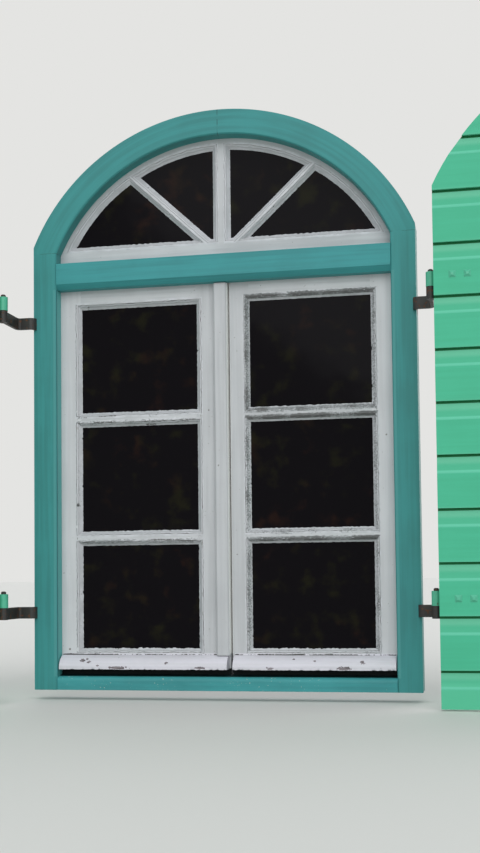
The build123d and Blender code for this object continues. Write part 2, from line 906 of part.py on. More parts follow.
openings = fan_panes()
fan_cutter = glazing_cutter(openings, stop_y)
centre_outline, slant_outline = fan_bars()
right_rim = fan_piece(fan_half_rim(), fan_cutter)
right_slant = fan_piece(slant_outline, fan_cutter)
write(fan_piece(fan_rail_outline(), fan_cutter), "fanlight_bottom_rail")
write(right_rim, "fanlight_rim_right")
write(mirrored(right_rim), "fanlight_rim_left")
write(fan_piece(centre_outline, fan_cutter), "fanlight_centre_bar")
write(right_slant, "fanlight_right_bar")
write(mirrored(right_slant), "fanlight_left_bar")
write_group(glass(openings, stop_y), "fanlight_glass")
write_group(putty(openings, stop_y), "fanlight_putty")

# Write the casements

casement(-leaf_x, meeting_edge, "left")
casement(leaf_x, right_edge, "right")
write(drip_board(-clear_x + drip_side, meeting_edge - drip_meet), "left_drip_board")
write(drip_board(right_edge + drip_meet, clear_x - drip_side), "right_drip_board")
write(meeting_strip(), "meeting_strip")

hinge_zs = (leaf_z0 + hinge_inset, leaf_z1 - hinge_inset)
frame_flaps = [hinge_flap(z, 1, (0, 2)) for z in hinge_zs]
leaf_flaps = [hinge_flap(z, -1, (1,)) for z in hinge_zs]
pins = [hinge_pin(z) for z in hinge_zs]
write_group(frame_flaps + [mirrored(flap) for flap in frame_flaps], "casement_hinge_frame_flaps")
write_group(pins + [mirrored(pin) for pin in pins], "casement_hinge_pins")
write_group(leaf_flaps, "right_hinge_flaps")
write_group([mirrored(flap) for flap in leaf_flaps], "left_hinge_flaps")

write(catch_plate(), "catch_plate")
write(catch_lever(), "catch_lever")
write(catch_keeper(), "catch_keeper")

# Write the shutters and their ironwork

boards = shutter_boards()
hinge_batten = shutter_batten(shutter_x0 + batten_inset)
far_batten = shutter_batten(shutter_x0 + shutter_w - batten_inset - batten_w)
rivets = [strap_rivet(x, z) for x, z in rivet_places()]
straps = [strap(z) for z in strap_zs]
pintles = [pintle(z) for z in strap_zs]
nails = [pintle_nail(y, z) for y, z in nail_places()]

write_group(boards, "right_shutter_boards")
write_group([mirrored(board) for board in boards], "left_shutter_boards")
write(hinge_batten, "right_shutter_hinge_batten")
write(mirrored(hinge_batten), "left_shutter_hinge_batten")
write(far_batten, "right_shutter_meeting_batten")
write(mirrored(far_batten), "left_shutter_meeting_batten")
write_group(rivets, "right_shutter_rivets")
write_group([mirrored(rivet) for rivet in rivets], "left_shutter_rivets")
for level, iron, hook in zip(("lower", "upper"), straps, pintles):
    write(iron, f"right_{level}_strap")
    write(mirrored(iron), f"left_{level}_strap")
    write(hook, f"right_{level}_pintle")
    write(mirrored(hook), f"left_{level}_pintle")
write_group(nails + [mirrored(nail) for nail in nails], "pintle_nails")
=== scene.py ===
# %% [markdown]
# # An arched window with boarded shutters
# The window is joinery: a teal frame, two white casements with old putty round their panes, a fixed
# fanlight, and a pair of green shutters on strap hinges. The solids come ready made and stay as they
# are. This script gives them paint, glass and iron, and adds what a joiner's drawing leaves out:
# hand-pressed putty, worn drip boards, a worn sill and screws.

# %% Load the frame
from math import cos, pi, radians, sin

import bmesh
import bpy
import numpy as np
from mathutils import Matrix, Vector


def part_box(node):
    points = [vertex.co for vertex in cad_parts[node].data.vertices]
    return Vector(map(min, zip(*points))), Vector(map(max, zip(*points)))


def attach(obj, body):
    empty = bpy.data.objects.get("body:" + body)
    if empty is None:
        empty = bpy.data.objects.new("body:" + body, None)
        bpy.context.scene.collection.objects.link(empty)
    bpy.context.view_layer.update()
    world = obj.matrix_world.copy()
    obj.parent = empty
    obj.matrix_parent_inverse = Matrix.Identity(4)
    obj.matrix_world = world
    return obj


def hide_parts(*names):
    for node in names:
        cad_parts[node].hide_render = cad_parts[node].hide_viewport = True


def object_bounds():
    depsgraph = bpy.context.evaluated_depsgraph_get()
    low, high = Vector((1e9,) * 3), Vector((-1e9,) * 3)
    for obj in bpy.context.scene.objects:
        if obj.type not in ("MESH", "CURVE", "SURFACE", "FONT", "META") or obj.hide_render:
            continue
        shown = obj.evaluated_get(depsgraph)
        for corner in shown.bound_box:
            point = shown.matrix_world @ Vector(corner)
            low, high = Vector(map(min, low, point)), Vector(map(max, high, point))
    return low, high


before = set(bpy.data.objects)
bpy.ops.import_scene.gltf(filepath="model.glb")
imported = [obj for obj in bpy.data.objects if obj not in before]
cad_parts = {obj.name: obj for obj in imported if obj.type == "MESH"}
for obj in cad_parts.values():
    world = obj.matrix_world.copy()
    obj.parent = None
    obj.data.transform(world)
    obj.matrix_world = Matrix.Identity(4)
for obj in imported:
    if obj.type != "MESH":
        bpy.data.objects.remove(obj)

cad_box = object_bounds()
MM = 0.001
print("CAD nodes:", len(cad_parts))

# %% [markdown]
# ## Levels and edges of the joinery
# Every new piece is fitted to the solids, so its places are read from their boxes where a box says
# them, and written once here where it doesn't.

# %% Levels and edges
leaf_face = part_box("left_hinge_stile")[0].y      # outside face of the casements
fan_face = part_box("fanlight_centre_bar")[0].y    # outside face of the fanlight
SIGHT_IN = 0.070                                 # centre line to the glass of either leaf, in metres
SIGHT_OUT = 0.383                                # centre line to the glass's far edge
JAMB_INNER = 0.438                               # where the sill's stop and the transom butt the jambs
PANE_LEVELS = ((0.105, 0.373), (0.411, 0.686), (0.724, 1.000))
FAN_FOOT = 1.168                                 # fanlight's glass over its bottom rail
FAN_ARCH_Z = 0.9482                              # centre of the arch
FAN_R = 0.4538                                   # glass of the fanlight to that centre
FAN_BAR_FOOT = 1.120                             # where the slanting bars' middle lines meet
FAN_BAR_ANGLE = radians(43)
FAN_BAR_HALF = 0.015                             # half widths of the slanting and the upright bar
FAN_CENTRE_HALF = 0.023
print("casement face", round(leaf_face, 4), "fanlight face", round(fan_face, 4))

# %% [markdown]
# ## The camera
# The view is straight on from outside, a little from the right and below the middle of the window,
# as from a hand-held camera. Its place and its turns were worked out from the corners of the
# panes, so the camera's axes are built from yaw, pitch and roll instead of being aimed by hand. The
# upright timbers hardly lean, though the camera looks up at them, so part of the tilt is a lens shift.

# %% Camera
eye = Vector((0.64125, -3.01360, 0.29481))
yaw, pitch, roll = radians(11.267), radians(2.779), radians(-0.624)
focal_px, image_h, shift_px = 1200, 853, 89.2      # lens and shift, in pixels of an image 853 high

forward = Vector((-sin(yaw) * cos(pitch), cos(yaw) * cos(pitch), sin(pitch)))
level = Vector((cos(yaw), sin(yaw), 0))
upright = level.cross(forward)
right = cos(roll) * level + sin(roll) * upright
up = cos(roll) * upright - sin(roll) * level

camera = bpy.data.objects.new("camera", bpy.data.cameras.new("camera"))
camera.data.sensor_width = 36
camera.data.lens = focal_px * camera.data.sensor_width / image_h
camera.data.shift_y = shift_px / image_h
axes = Matrix((right, up, -forward)).transposed().to_4x4()
camera.matrix_world = Matrix.Translation(eye) @ axes
bpy.context.scene.collection.objects.link(camera)
bpy.context.scene.camera = camera
bpy.context.scene.view_settings.view_transform = "Standard"
print("lens", round(camera.data.lens, 2), "mm")

# %% [markdown]
# ## Colour and shader helpers
# Paint colours are written as sRGB hex, the way they read off a screen, and turned to the linear
# values that the shaders work in. One helper adds a shader node with its settings and its links. The
# settings that come up again and again get a short name.

# %% Colour and node helpers
SMOOTH = {"interpolation_type": "SMOOTHSTEP"}
RGBA = {"data_type": "RGBA"}
ADD = {"operation": "ADD"}
SUBTRACT = {"operation": "SUBTRACT"}
MULTIPLY = {"operation": "MULTIPLY"}
MULTIPLY_ADD = {"operation": "MULTIPLY_ADD"}
ABSOLUTE = {"operation": "ABSOLUTE"}
LARGER = {"operation": "MAXIMUM"}


def linear(code):
    """Linear RGBA of an sRGB hex colour: each channel c becomes ((c + 0.055) / 1.055) ** 2.4."""
    srgb = [int(code[i:i + 2], 16) / 255 for i in (1, 3, 5)]
    return tuple(c / 12.92 if c <= 0.04045 else ((c + 0.055) / 1.055) ** 2.4 for c in srgb) + (1.0,)


def add(tree, kind, settings, links):
    """Add a shader node. Settings are its own fields. Links fill its inputs, by name or number, with
    a value, with another node's output, or with a node, which stands for its first live output."""
    made = tree.nodes.new("ShaderNode" + kind)
    for field, value in settings.items():
        setattr(made, field, value)
    for socket, value in links.items():
        if isinstance(value, bpy.types.Node):
            value = next(out for out in value.outputs if out.enabled)
        if isinstance(value, bpy.types.NodeSocket):
            tree.links.new(value, made.inputs[socket])
        else:
            made.inputs[socket].default_value = value
    return made


def new_finish(name):
    """An empty material and its node tree."""
    finish = bpy.data.materials.new(name)
    finish.use_nodes = True
    finish.node_tree.nodes.clear()
    return finish, finish.node_tree


# %% [markdown]
# ## Floor and light
# The window stands over a plain pale floor in soft daylight. A broad sun lamp gives the direction,
# a weaker one behind keeps the room side readable, and the sky fills in. Both are set so that a
# painted face comes out about as light as its paint is written.

# %% Floor, sun and sky
floor_z = cad_box[0].z - 4 * MM
floor_half = 60.0          # far enough for its edge to pass for a horizon
floor_mesh = bpy.data.meshes.new("floor")
floor_mesh.from_pydata([(x * floor_half, y * floor_half, floor_z)
                        for x, y in ((-1, -1), (1, -1), (1, 1), (-1, 1))], [], [(0, 1, 2, 3)])
floor = bpy.data.objects.new("floor", floor_mesh)
bpy.context.scene.collection.objects.link(floor)
floor_finish, tree = new_finish("pale_studio_floor")
floor_shader = add(tree, "BsdfPrincipled", {}, {"Base Color": linear("#d6d5d1"), "Roughness": 0.9})
add(tree, "OutputMaterial", {}, {"Surface": floor_shader})
floor_mesh.materials.append(floor_finish)


def sun(name, strength, softness, towards):
    """A sun lamp whose light travels in the given direction and is `softness` degrees across."""
    lamp = bpy.data.objects.new(name, bpy.data.lights.new(name, "SUN"))
    lamp.data.energy = strength
    lamp.data.angle = radians(softness)
    lamp.rotation_mode = "QUATERNION"
    lamp.rotation_quaternion = Vector(towards).to_track_quat("-Z", "Y")
    bpy.context.scene.collection.objects.link(lamp)


sun("daylight", 1.55, 62, (-0.22, 1.0, -0.72))
sun("room_light", 1.0, 80, (-0.3, -1.0, -0.6))

sky = bpy.data.worlds.new("sky")
sky.use_nodes = True
sky.node_tree.nodes.clear()
bpy.context.scene.world = sky
tree = sky.node_tree
rays = add(tree, "LightPath", {}, {}).outputs
seen = add(tree, "Math", ADD, {0: rays["Is Camera Ray"], 1: rays["Is Glossy Ray"]})
seen = add(tree, "Math", ADD, {0: seen, 1: rays["Is Transmission Ray"]})
seen = add(tree, "Math", {"operation": "MINIMUM"}, {0: seen, 1: 1.0})
fill = add(tree, "Background", {}, {"Color": linear("#e9eef2"), "Strength": 0.68})
backdrop = add(tree, "Background", {}, {"Color": linear("#e4e4e2"), "Strength": 1.0})
both = add(tree, "MixShader", {}, {0: seen, 1: fill, 2: backdrop})
add(tree, "OutputWorld", {}, {"Surface": both})
print("lamps:", len(bpy.data.lights))

# %% [markdown]
# ## Oil paint on planed timber
# Oil paint is brushed out along the grain. Up close it shows fine ridges about 2 mm apart, broader
# bands where one stroke laps another, and a slow fading from sun and rain. At this distance the fine
# ridges are under a pixel, so the bands are drawn about 9 mm wide to show. All of it is noise on the
# object's own coordinates, stretched along the timber, so it needs no unwrapping. On a curved piece
# the strokes follow the arch: there the noise reads the distance from the arch's centre and the way
# along the curve instead of X and Z.

# %% Brush strokes and speckles
BRUSH_RIDGE = 2.2 * MM
RIDGE_LEN = 90 * MM
STROKE_W = 9 * MM
STROKE_LEN = 260 * MM
FADE_SIZE = 160 * MM
CHIP_SIZE = 5 * MM
ARCH_GIRTH = 0.47          # radius at which a stroke's length along the arch is true
HAIR = 0.3 * MM            # half width of a hairline at a joint


def brushed(tree, run, across, along):
    """Noise drawn out along X, Z or the arch: one ridge every `across` metres, `along` metres long."""
    place = add(tree, "TexCoord", {}, {}).outputs["Object"]
    if run == "ARCH":
        apart = add(tree, "SeparateXYZ", {}, {0: place})
        rise = add(tree, "Math", SUBTRACT, {0: apart.outputs["Z"], 1: FAN_ARCH_Z})
        spoke = add(tree, "CombineXYZ", {}, {"X": apart.outputs["X"], "Z": rise})
        reach = add(tree, "VectorMath", {"operation": "LENGTH"}, {0: spoke}).outputs["Value"]
        turn = add(tree, "Math", {"operation": "ARCTAN2"}, {0: rise, 1: apart.outputs["X"]})
        girth = add(tree, "Math", MULTIPLY, {0: turn, 1: ARCH_GIRTH})
        place = add(tree, "CombineXYZ", {}, {"X": reach, "Y": apart.outputs["Y"], "Z": girth}).outputs[0]
        run = "Z"
    scale = [1 / across] * 3
    scale["XYZ".index(run)] = 1 / along
    turned = add(tree, "Mapping", {}, {"Vector": place, "Scale": scale})
    return add(tree, "TexNoise", {}, {"Vector": turned, "Scale": 1.0, "Detail": 3.0})


def speckled(tree, size, detail):
    """Even noise with blotches of about `size` metres."""
    place = add(tree, "TexCoord", {}, {})
    return add(tree, "TexNoise", {}, {"Vector": place.outputs["Object"], "Scale": 1 / size,
                                      "Detail": detail})


def strip(tree, axis, low, high, soft, mirrored=False, pitch=0.0):
    """1 where a coordinate lies between low and high, fading over `soft` outside, all in metres.
    Mirrored reads it without its sign, so one strip serves both sides of the window. With a pitch,
    the strip comes again at every pitch."""
    place = add(tree, "TexCoord", {}, {}).outputs["Object"]
    along = add(tree, "SeparateXYZ", {}, {0: place}).outputs[axis]
    if mirrored:
        along = add(tree, "Math", ABSOLUTE, {0: along})
    away = add(tree, "Math", SUBTRACT, {0: along, 1: (low + high) / 2})
    nearest = {"operation": "PINGPONG"} if pitch else ABSOLUTE
    away = add(tree, "Math", nearest, {0: away, 1: pitch / 2})
    half = (high - low) / 2
    return add(tree, "MapRange", SMOOTH, {"Value": away, "From Min": half, "From Max": half + soft,
                                          "To Min": 1.0, "To Max": 0.0})


def hairline(tree, axis, at, mirrored=False):
    """A hair's width on either side of one place along an axis."""
    return strip(tree, axis, at - HAIR, at + HAIR, 3 * HAIR, mirrored)


def crossing(tree, *masks):
    """Where all the masks overlap: their product."""
    share = masks[0]
    for mask in masks[1:]:
        share = add(tree, "Math", MULTIPLY, {0: share, 1: mask})
    return share


def either(tree, *masks):
    """Where any of the masks lies: the largest of them."""
    share = masks[0]
    for mask in masks[1:]:
        share = add(tree, "Math", LARGER, {0: share, 1: mask})
    return share


def broken_up(tree, size, low, high, detail=3.0):
    """A mask of blotches, which makes a line come and go."""
    blotches = speckled(tree, size, detail)
    return add(tree, "MapRange", SMOOTH, {"Value": blotches, "From Min": low, "From Max": high})


def paint_over(tree, colour, *coats):
    """Lay coats over a colour, one after the other: each is a mask and the hex colour it brings."""
    for mask, code in coats:
        colour = add(tree, "Mix", RGBA, {0: mask, 6: colour, 7: linear(code)})
    return colour


# %% Painted timber
def surface(tree, colour, rough, height, strength, distance, more):
    """What every finish ends with: a bump, which is `distance` metres deep where the height changes
    by 1, the shader with `more` of its inputs, and the output."""
    relief = add(tree, "Bump", {}, {"Strength": strength, "Distance": distance, "Height": height})
    shader = add(tree, "BsdfPrincipled", {}, {"Base Color": colour, "Roughness": rough,
                                              "Normal": relief, **more})
    add(tree, "OutputMaterial", {}, {"Surface": shader})


def painted_timber(name, paint, deep, bare, run, gloss, shine, chipped, marks=None):
    """Brushed oil paint: `paint` where it stands full, `deep` in the strokes and faded patches, and
    `bare` in the few chips, which are where the noise passes `chipped`. `marks` paints what always
    sits at one place on this object."""
    finish, tree = new_finish(name)
    ridges = brushed(tree, run, BRUSH_RIDGE, RIDGE_LEN)
    strokes = brushed(tree, run, STROKE_W, STROKE_LEN)
    faded = speckled(tree, FADE_SIZE, 4.0)

    uneven = add(tree, "Math", ADD, {0: strokes, 1: faded})
    full = add(tree, "MapRange", SMOOTH, {"Value": uneven, "From Min": 0.75, "From Max": 1.25})
    colour = add(tree, "Mix", RGBA, {0: full, 6: linear(deep), 7: linear(paint)})
    lost = broken_up(tree, CHIP_SIZE, chipped, chipped + 0.02, detail=2.0)
    colour = paint_over(tree, colour, (lost, bare))
    if marks:
        colour = marks(tree, colour)

    rough = add(tree, "MapRange", {}, {"Value": faded, "To Min": gloss - 0.06, "To Max": gloss + 0.1})
    film = add(tree, "Math", SUBTRACT, {0: ridges, 1: lost})
    surface(tree, colour, rough, film, 0.35, 0.25 * MM, {"IOR": 1.5, "Specular IOR Level": shine})
    return finish


# %% [markdown]
# ## Marks that always sit in the same place
# Some marks belong to a place and not to the paint: hairlines where two timbers meet, small knocks, and
# painted light and shade. That is painted highlights on the jamb's arris and on the boards' arrises, a darker
# line round the jamb's corner and a return painted lighter, painted shadow of the drip boards, nearly black,
# on the casements' feet and on the sill, painted shade in the shutters' grooves and hollows, and painted
# light along the shutters' foot and inside the gap between the leaves. Each is where a few strips of the
# object's coordinates cross, with blotches that break it up.

# %% Marks on the teal frame
OPENING_Z = (0.036, 1.046)         # from the sill's top to the transom's foot
ARRIS_X = (0.4395, 0.4455)         # the jamb's face beside its inner arris
RETURN_X = (0.430, 0.4386)         # the side that it turns to the opening
JAMB_FACE_Y = (-0.0450, -0.0395)
CORNER_Y = (-0.0405, -0.0360)
RETURN_Y = (-0.0330, 0.0)
SPRING_Z = 1.144                   # where the arched head stands on the jambs
SILL_BEHIND_Y = (-0.021, 0.0)      # the sill's slope behind the drip boards' noses


def jamb_marks(tree, colour):
    """The jamb's inner arris: a painted highlight on the face beside it, a darker line just round it, then
    the return, painted lighter to make up for the shade that the jamb's depth throws on it."""
    tall = strip(tree, "Z", *OPENING_Z, 2 * MM)
    inner = strip(tree, "X", *RETURN_X, 0.3 * MM, mirrored=True)
    # Painted highlight on the jamb's face beside the inner arris.
    jamb_arris_highlight = crossing(tree, strip(tree, "X", *ARRIS_X, 2.5 * MM, mirrored=True),
                      strip(tree, "Y", *JAMB_FACE_Y, 0.5 * MM), tall)
    # A darker line round the corner.
    corner_line = crossing(tree, inner, strip(tree, "Y", *CORNER_Y, 2 * MM), tall)
    # The return is painted lighter, against its shade.
    full = crossing(tree, inner, strip(tree, "Y", *RETURN_Y, 2 * MM), tall)
    return paint_over(tree, colour, (jamb_arris_highlight, "#4a9190"), (full, "#57a9a6"), (corner_line, "#2d7072"))


def head_marks(tree, colour):
    """Hairlines at the head's joints: the crown, and the springing over each jamb."""
    crown = crossing(tree, hairline(tree, "X", 0.0), strip(tree, "Z", 1.3, 1.8, 10 * MM))
    hairs = either(tree, hairline(tree, "Z", SPRING_Z), crown)
    hairs = crossing(tree, hairs, broken_up(tree, 18 * MM, 0.38, 0.55))
    return paint_over(tree, colour, (hairs, "#24494a"))


def sill_marks(tree, colour):
    """Painted shadow of the drip boards, nearly black, on the sill's slope under them, and pale splashes on
    its front.
    """
    grit = broken_up(tree, 4.5 * MM, 0.695, 0.72, detail=1.0)
    splashes = crossing(tree, grit, broken_up(tree, 70 * MM, 0.5, 0.6), strip(tree, "Z", 0, 0.034, 2 * MM))
    # Painted shadow of the drip boards on the sill's slope.
    drip_shadow = crossing(tree, strip(tree, "Y", *SILL_BEHIND_Y, 13 * MM), strip(tree, "Z", 0.028, 0.045, 3 * MM))
    return paint_over(tree, colour, (splashes, "#a9bdb2"), (drip_shadow, "#082022"))


# %% Marks on the shutters
BOARD_PITCH = 0.125        # from board to board, in metres
GROOVE_FOOT = 0.061        # lowest open line between two boards
GROOVE_TOP = 0.067
HOLLOW_FOOT = 0.025        # where the hollow under that line meets the board's face
SHUTTER_FOOT = -0.022
BOARD_FRONT_Y = (-0.197, -0.188)
GROOVE_Y = (-0.1882, -0.1765)
BOARD_BACK_Y = (-0.1763, -0.170)


def board_marks(tree, colour):
    """Painted shade, deep green, inside the open lines; the hollows painted a little darker as shade, but
    chalky at their top where rain runs out of the line; a painted highlight on the arris at their foot;
    painted light along the shutter's foot; and on the back a hairline where one board's foot stands on the
    next."""

    def courses(low, high, soft):
        """A strip of Z between low and high that comes again on every board."""
        return strip(tree, "Z", low, high, soft, pitch=BOARD_PITCH)

    front = strip(tree, "Y", *BOARD_FRONT_Y, 0.3 * MM)
    # The hollows are painted a little darker, as shade.
    hollow_shade = crossing(tree, front, courses(HOLLOW_FOOT, GROOVE_FOOT, 1 * MM))
    # Painted light along the shutter's foot.
    shutter_foot_light = crossing(tree, front, strip(tree, "Z", SHUTTER_FOOT, 0.018, 30 * MM))
    chalky = crossing(tree, front, courses(GROOVE_FOOT - 9 * MM, GROOVE_FOOT, 12 * MM))
    # Painted highlight on the arris under each hollow.
    board_arris_highlight = crossing(tree, front, courses(HOLLOW_FOOT - 1 * MM, HOLLOW_FOOT + 3.5 * MM, 2.5 * MM))
    back = crossing(tree, strip(tree, "Y", *BOARD_BACK_Y, 0.2 * MM),
                    courses(GROOVE_TOP - 0.5 * MM, GROOVE_TOP + 0.5 * MM, 1 * MM))
    # Painted shade inside the open lines between the boards.
    groove_shade = crossing(tree, strip(tree, "Y", *GROOVE_Y, 0.5 * MM), courses(GROOVE_FOOT, GROOVE_TOP, 1.5 * MM))
    return paint_over(tree, colour, (hollow_shade, "#48b08a"), (shutter_foot_light, "#56bc95"), (chalky, "#62bb98"),
                      (board_arris_highlight, "#5fc1a0"), (back, "#1f7a55"), (groove_shade, "#006636"))


# %% Marks on the casements
LEAF_FOOT = 0.054          # underside of the drip boards
BAR_ENDS = (0.0588, 0.3950)
GAP_X = (0.0142, 0.0198)   # gap between the leaves
# Places of the knocks in metres, and their radii.
KNOCKS = ((-0.417, -0.003, 0.103, 3.2 * MM), (-0.432, -0.003, 0.302, 1.8 * MM),
          (-0.038, -0.003, 0.719, 2.2 * MM), (-0.010, -0.019, 0.573, 2 * MM),
          (0.033, -0.003, 0.345, 2 * MM), (0.418, -0.003, 0.640, 2.4 * MM))


def leaf_marks(tree, colour):
    """Painted shadow of the drip boards, nearly black, on the foot behind them, hairlines at the ends of the
    glazing bars, small knocks through the paint, and painted light inside the gap between the two leaves,
    where the paint is lighter against the shade. A knock is near a point: its distance plus some noise is
    small."""
    # Painted shadow of the drip boards on the casements' foot.
    foot = crossing(tree, strip(tree, "Z", 0.0, LEAF_FOOT, 1.5 * MM),
                    strip(tree, "Y", -0.011, 0.004, 2 * MM))
    ends = either(tree, *(hairline(tree, "X", at, mirrored=True) for at in BAR_ENDS))
    hairs = crossing(tree, ends, strip(tree, "Z", 0.11, 0.99, 5 * MM), broken_up(tree, 14 * MM, 0.42, 0.55))
    place = add(tree, "TexCoord", {}, {}).outputs["Object"]
    ragged = add(tree, "Math", MULTIPLY, {0: speckled(tree, 3 * MM, 2.0), 1: 5 * MM})
    knocks = []
    for x, y, z, radius in KNOCKS:
        near = add(tree, "VectorMath", {"operation": "DISTANCE"}, {0: place, 1: (x, y, z)}).outputs["Value"]
        near = add(tree, "Math", ADD, {0: near, 1: ragged})
        knocks.append(add(tree, "MapRange", {}, {
            "Value": near, "From Min": radius + 1.8 * MM, "From Max": radius + 2.6 * MM,
            "To Min": 0.8, "To Max": 0.0}))
    # Painted light inside the gap between the leaves.
    gap_light = crossing(tree, strip(tree, "X", *GAP_X, 0.3 * MM), strip(tree, "Y", -0.018, 0.05, 0.5 * MM),
                     strip(tree, "Z", 0.095, 1.08, 5 * MM))
    return paint_over(tree, colour, (hairs, "#77776f"), (either(tree, *knocks), "#6f6a66"),
                      (gap_light, "#ececea"), (foot, "#101617"))


# %% [markdown]
# Three paints, each brushed along the timber it covers. The teal is an older, silkier paint, the mint
# green a newer satin one with hardly a brush mark, and the white is chalky and flecked.

# %% The painted finishes
teal = {"paint": "#3d8d8c", "deep": "#38807f", "gloss": 0.45, "shine": 0.25}
green = {"paint": "#4ab690", "deep": "#47b18b", "bare": "#3a8f70", "gloss": 0.45, "shine": 0.2,
         "chipped": 0.84}
white = {"paint": "#bfc1c3", "deep": "#b5b7b9", "bare": "#85857f", "gloss": 0.5, "shine": 0.1,
         "chipped": 0.75, "marks": leaf_marks}
teal_jamb = painted_timber("teal_oil_paint_on_jambs", bare="#8f9a92", run="Z", chipped=0.80,
                           marks=jamb_marks, **teal)
teal_head = painted_timber("teal_oil_paint_on_arch", bare="#8f9a92", run="ARCH", chipped=0.80,
                           marks=head_marks, **teal)
teal_level = painted_timber("teal_oil_paint_on_sill", bare="#a9b3a8", run="X", chipped=0.80,
                            marks=sill_marks, **teal | {"paint": "#3e9395", "deep": "#398688"})
green_boards = painted_timber("mint_satin_paint_on_boards", run="X", marks=board_marks, **green)
green_battens = painted_timber("mint_satin_paint_on_battens", run="Z", **green)
white_upright = painted_timber("old_white_paint_on_stiles", run="Z", **white)
white_level = painted_timber("old_white_paint_on_rails", run="X", **white | {"paint": "#c6c8ca"})
white_arch = painted_timber("old_white_paint_on_arch", run="ARCH", **white)
# The hinge stiles get a lighter white, which makes up for the shade that the jambs beside them throw.
lightened_white_hinge = painted_timber("lightened_white_paint_on_hinge_stiles", run="Z",
                             **white | {"paint": "#cbccce", "deep": "#c2c3c5"})
print("painted timber finishes:", sum("_paint_on_" in made.name for made in bpy.data.materials))

# %% [markdown]
# ## Window glass
# By day a window looks nearly black from outside, because it is so much darker within. Clear glass would show
# whatever stands behind it instead, so that dark is painted into the glass itself: it is near black and
# glossy, with the slow waves of old drawn glass and a few faint blotches of brown and green, which are
# painted reflections.

# %% Glass
WAVE_SIZE = 110 * MM
REFLECTION_SIZE = 50 * MM
REFLECTION_TINT_SIZE = 170 * MM

glass, tree = new_finish("drawn_window_glass")
# Painted reflections: faint blotches of brown and green.
reflection_tint = broken_up(tree, REFLECTION_TINT_SIZE, 0.45, 0.6, detail=2.0)
warm_reflection = add(tree, "Mix", RGBA, {0: reflection_tint, 6: linear("#1c1b12"), 7: linear("#221613")})
blotches = broken_up(tree, REFLECTION_SIZE, 0.5, 0.75, detail=5.0)
colour = add(tree, "Mix", RGBA, {0: blotches, 6: linear("#0f0d10"), 7: warm_reflection})
waves = speckled(tree, WAVE_SIZE, 1.0)
surface(tree, colour, 0.07, waves, 0.3, 1.5 * MM, {"IOR": 1.5, "Specular IOR Level": 0.035})
print("glass waves:", WAVE_SIZE, "m")

# %% [markdown]
# ## Iron and brass
# The pintles and their nails are black iron with rust at the joints. Straps and rivets were brushed
# over with the shutters, and the casement hinges with the casements, so they show paint, a little
# chipped. The catch is cast brass gone dull and brown.

# %% Metals
def painted_iron(name, paint, dents, rust, chipped, gloss):
    """Paint over forged iron: a dented surface, `dents` the paint's colour in the hollows, rust where
    it is chipped."""
    finish, tree = new_finish(name)
    hammered = speckled(tree, 11 * MM, 2.0)
    lost = broken_up(tree, 7 * MM, chipped, chipped + 0.03, detail=4.0)
    colour = add(tree, "Mix", RGBA, {0: hammered, 6: linear(paint), 7: linear(dents)})
    colour = paint_over(tree, colour, (lost, rust))
    height = add(tree, "Math", SUBTRACT, {0: hammered, 1: lost})
    rough = add(tree, "MapRange", {}, {"Value": lost, "To Min": gloss, "To Max": 0.85})
    surface(tree, colour, rough, height, 0.5, 0.5 * MM, {})
    return finish


black_iron = painted_iron("black_iron_paint", "#2f2d2b", "#232120", "#5d3a25", 0.6, 0.5)
green_iron = painted_iron("mint_paint_on_iron", "#55b997", "#48aa89", "#5f4a35", 0.72, 0.4)
white_iron = painted_iron("white_paint_on_iron", "#c3c5c7", "#b2b4b6", "#6b5444", 0.68, 0.45)

brass, tree = new_finish("dull_cast_brass")
tarnish = speckled(tree, 9 * MM, 4.0)
brown = add(tree, "MapRange", SMOOTH, {"Value": tarnish, "From Min": 0.42, "From Max": 0.62})
colour = add(tree, "Mix", RGBA, {0: brown, 6: linear("#b08d4a"), 7: linear("#6d5630")})
rough = add(tree, "MapRange", {}, {"Value": tarnish, "To Min": 0.3, "To Max": 0.6})
surface(tree, colour, rough, tarnish, 0.3, 0.2 * MM, {"Metallic": 1.0})
print("metals:", [metal.name for metal in (black_iron, green_iron, white_iron, brass)])

# %% [markdown]
# ## Finishes for the solids
# Each timber gets the finish whose brush runs along its grain. The rule is one table of name parts,
# read from the top, so that every solid gets a finish and none is forgotten.

# %% Assign the finishes
finish_rules = (
    ("putty", white_level), ("glass", glass), ("rivets", green_iron), ("strap", green_iron),
    ("shutter_boards", green_boards), ("batten", green_battens), ("pintle", black_iron),
    ("hinge_flaps", white_iron), ("hinge_frame_flaps", white_iron), ("hinge_pins", white_iron),
    ("catch", brass), ("jamb", teal_jamb), ("sill", teal_level), ("transom", teal_level),
    ("head", teal_head), ("hinge_stile", lightened_white_hinge), ("stile", white_upright),
    ("centre_bar", white_upright), ("fanlight_rim", white_arch), ("meeting_strip", white_upright),
    ("", white_level),
)
for name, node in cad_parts.items():
    finish = next(f for part, f in finish_rules if part in name)
    node.data.materials.clear()
    node.data.materials.append(finish)
print("finished solids:", len(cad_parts))

# %% [markdown]
# ## Grid surfaces
# New pieces are worked out as whole grids of points. A grid may close up along its rows, round its
# columns, or both, so the same helper makes a ring of putty and a board with two ends. Unevenness
# comes from sums of waves, which have a size in metres and a seed, so that every run is the same.

# %% Mesh helpers
def waves_of(a, b, size, seed, count=14):
    """Uneven field, mostly within -1 to 1: the sum of `count` waves of random direction, phase and
    length near `size`, divided by the root of half their number."""
    rng = np.random.default_rng(seed)
    turn = rng.uniform(0, 2 * pi, count)
    length = size * rng.uniform(0.6, 1.7, count)
    phase = rng.uniform(0, 2 * pi, count)
    travel = (a[..., None] * np.cos(turn) + b[..., None] * np.sin(turn)) / length
    return np.sin(2 * pi * travel + phase).sum(-1) / np.sqrt(2 * count)


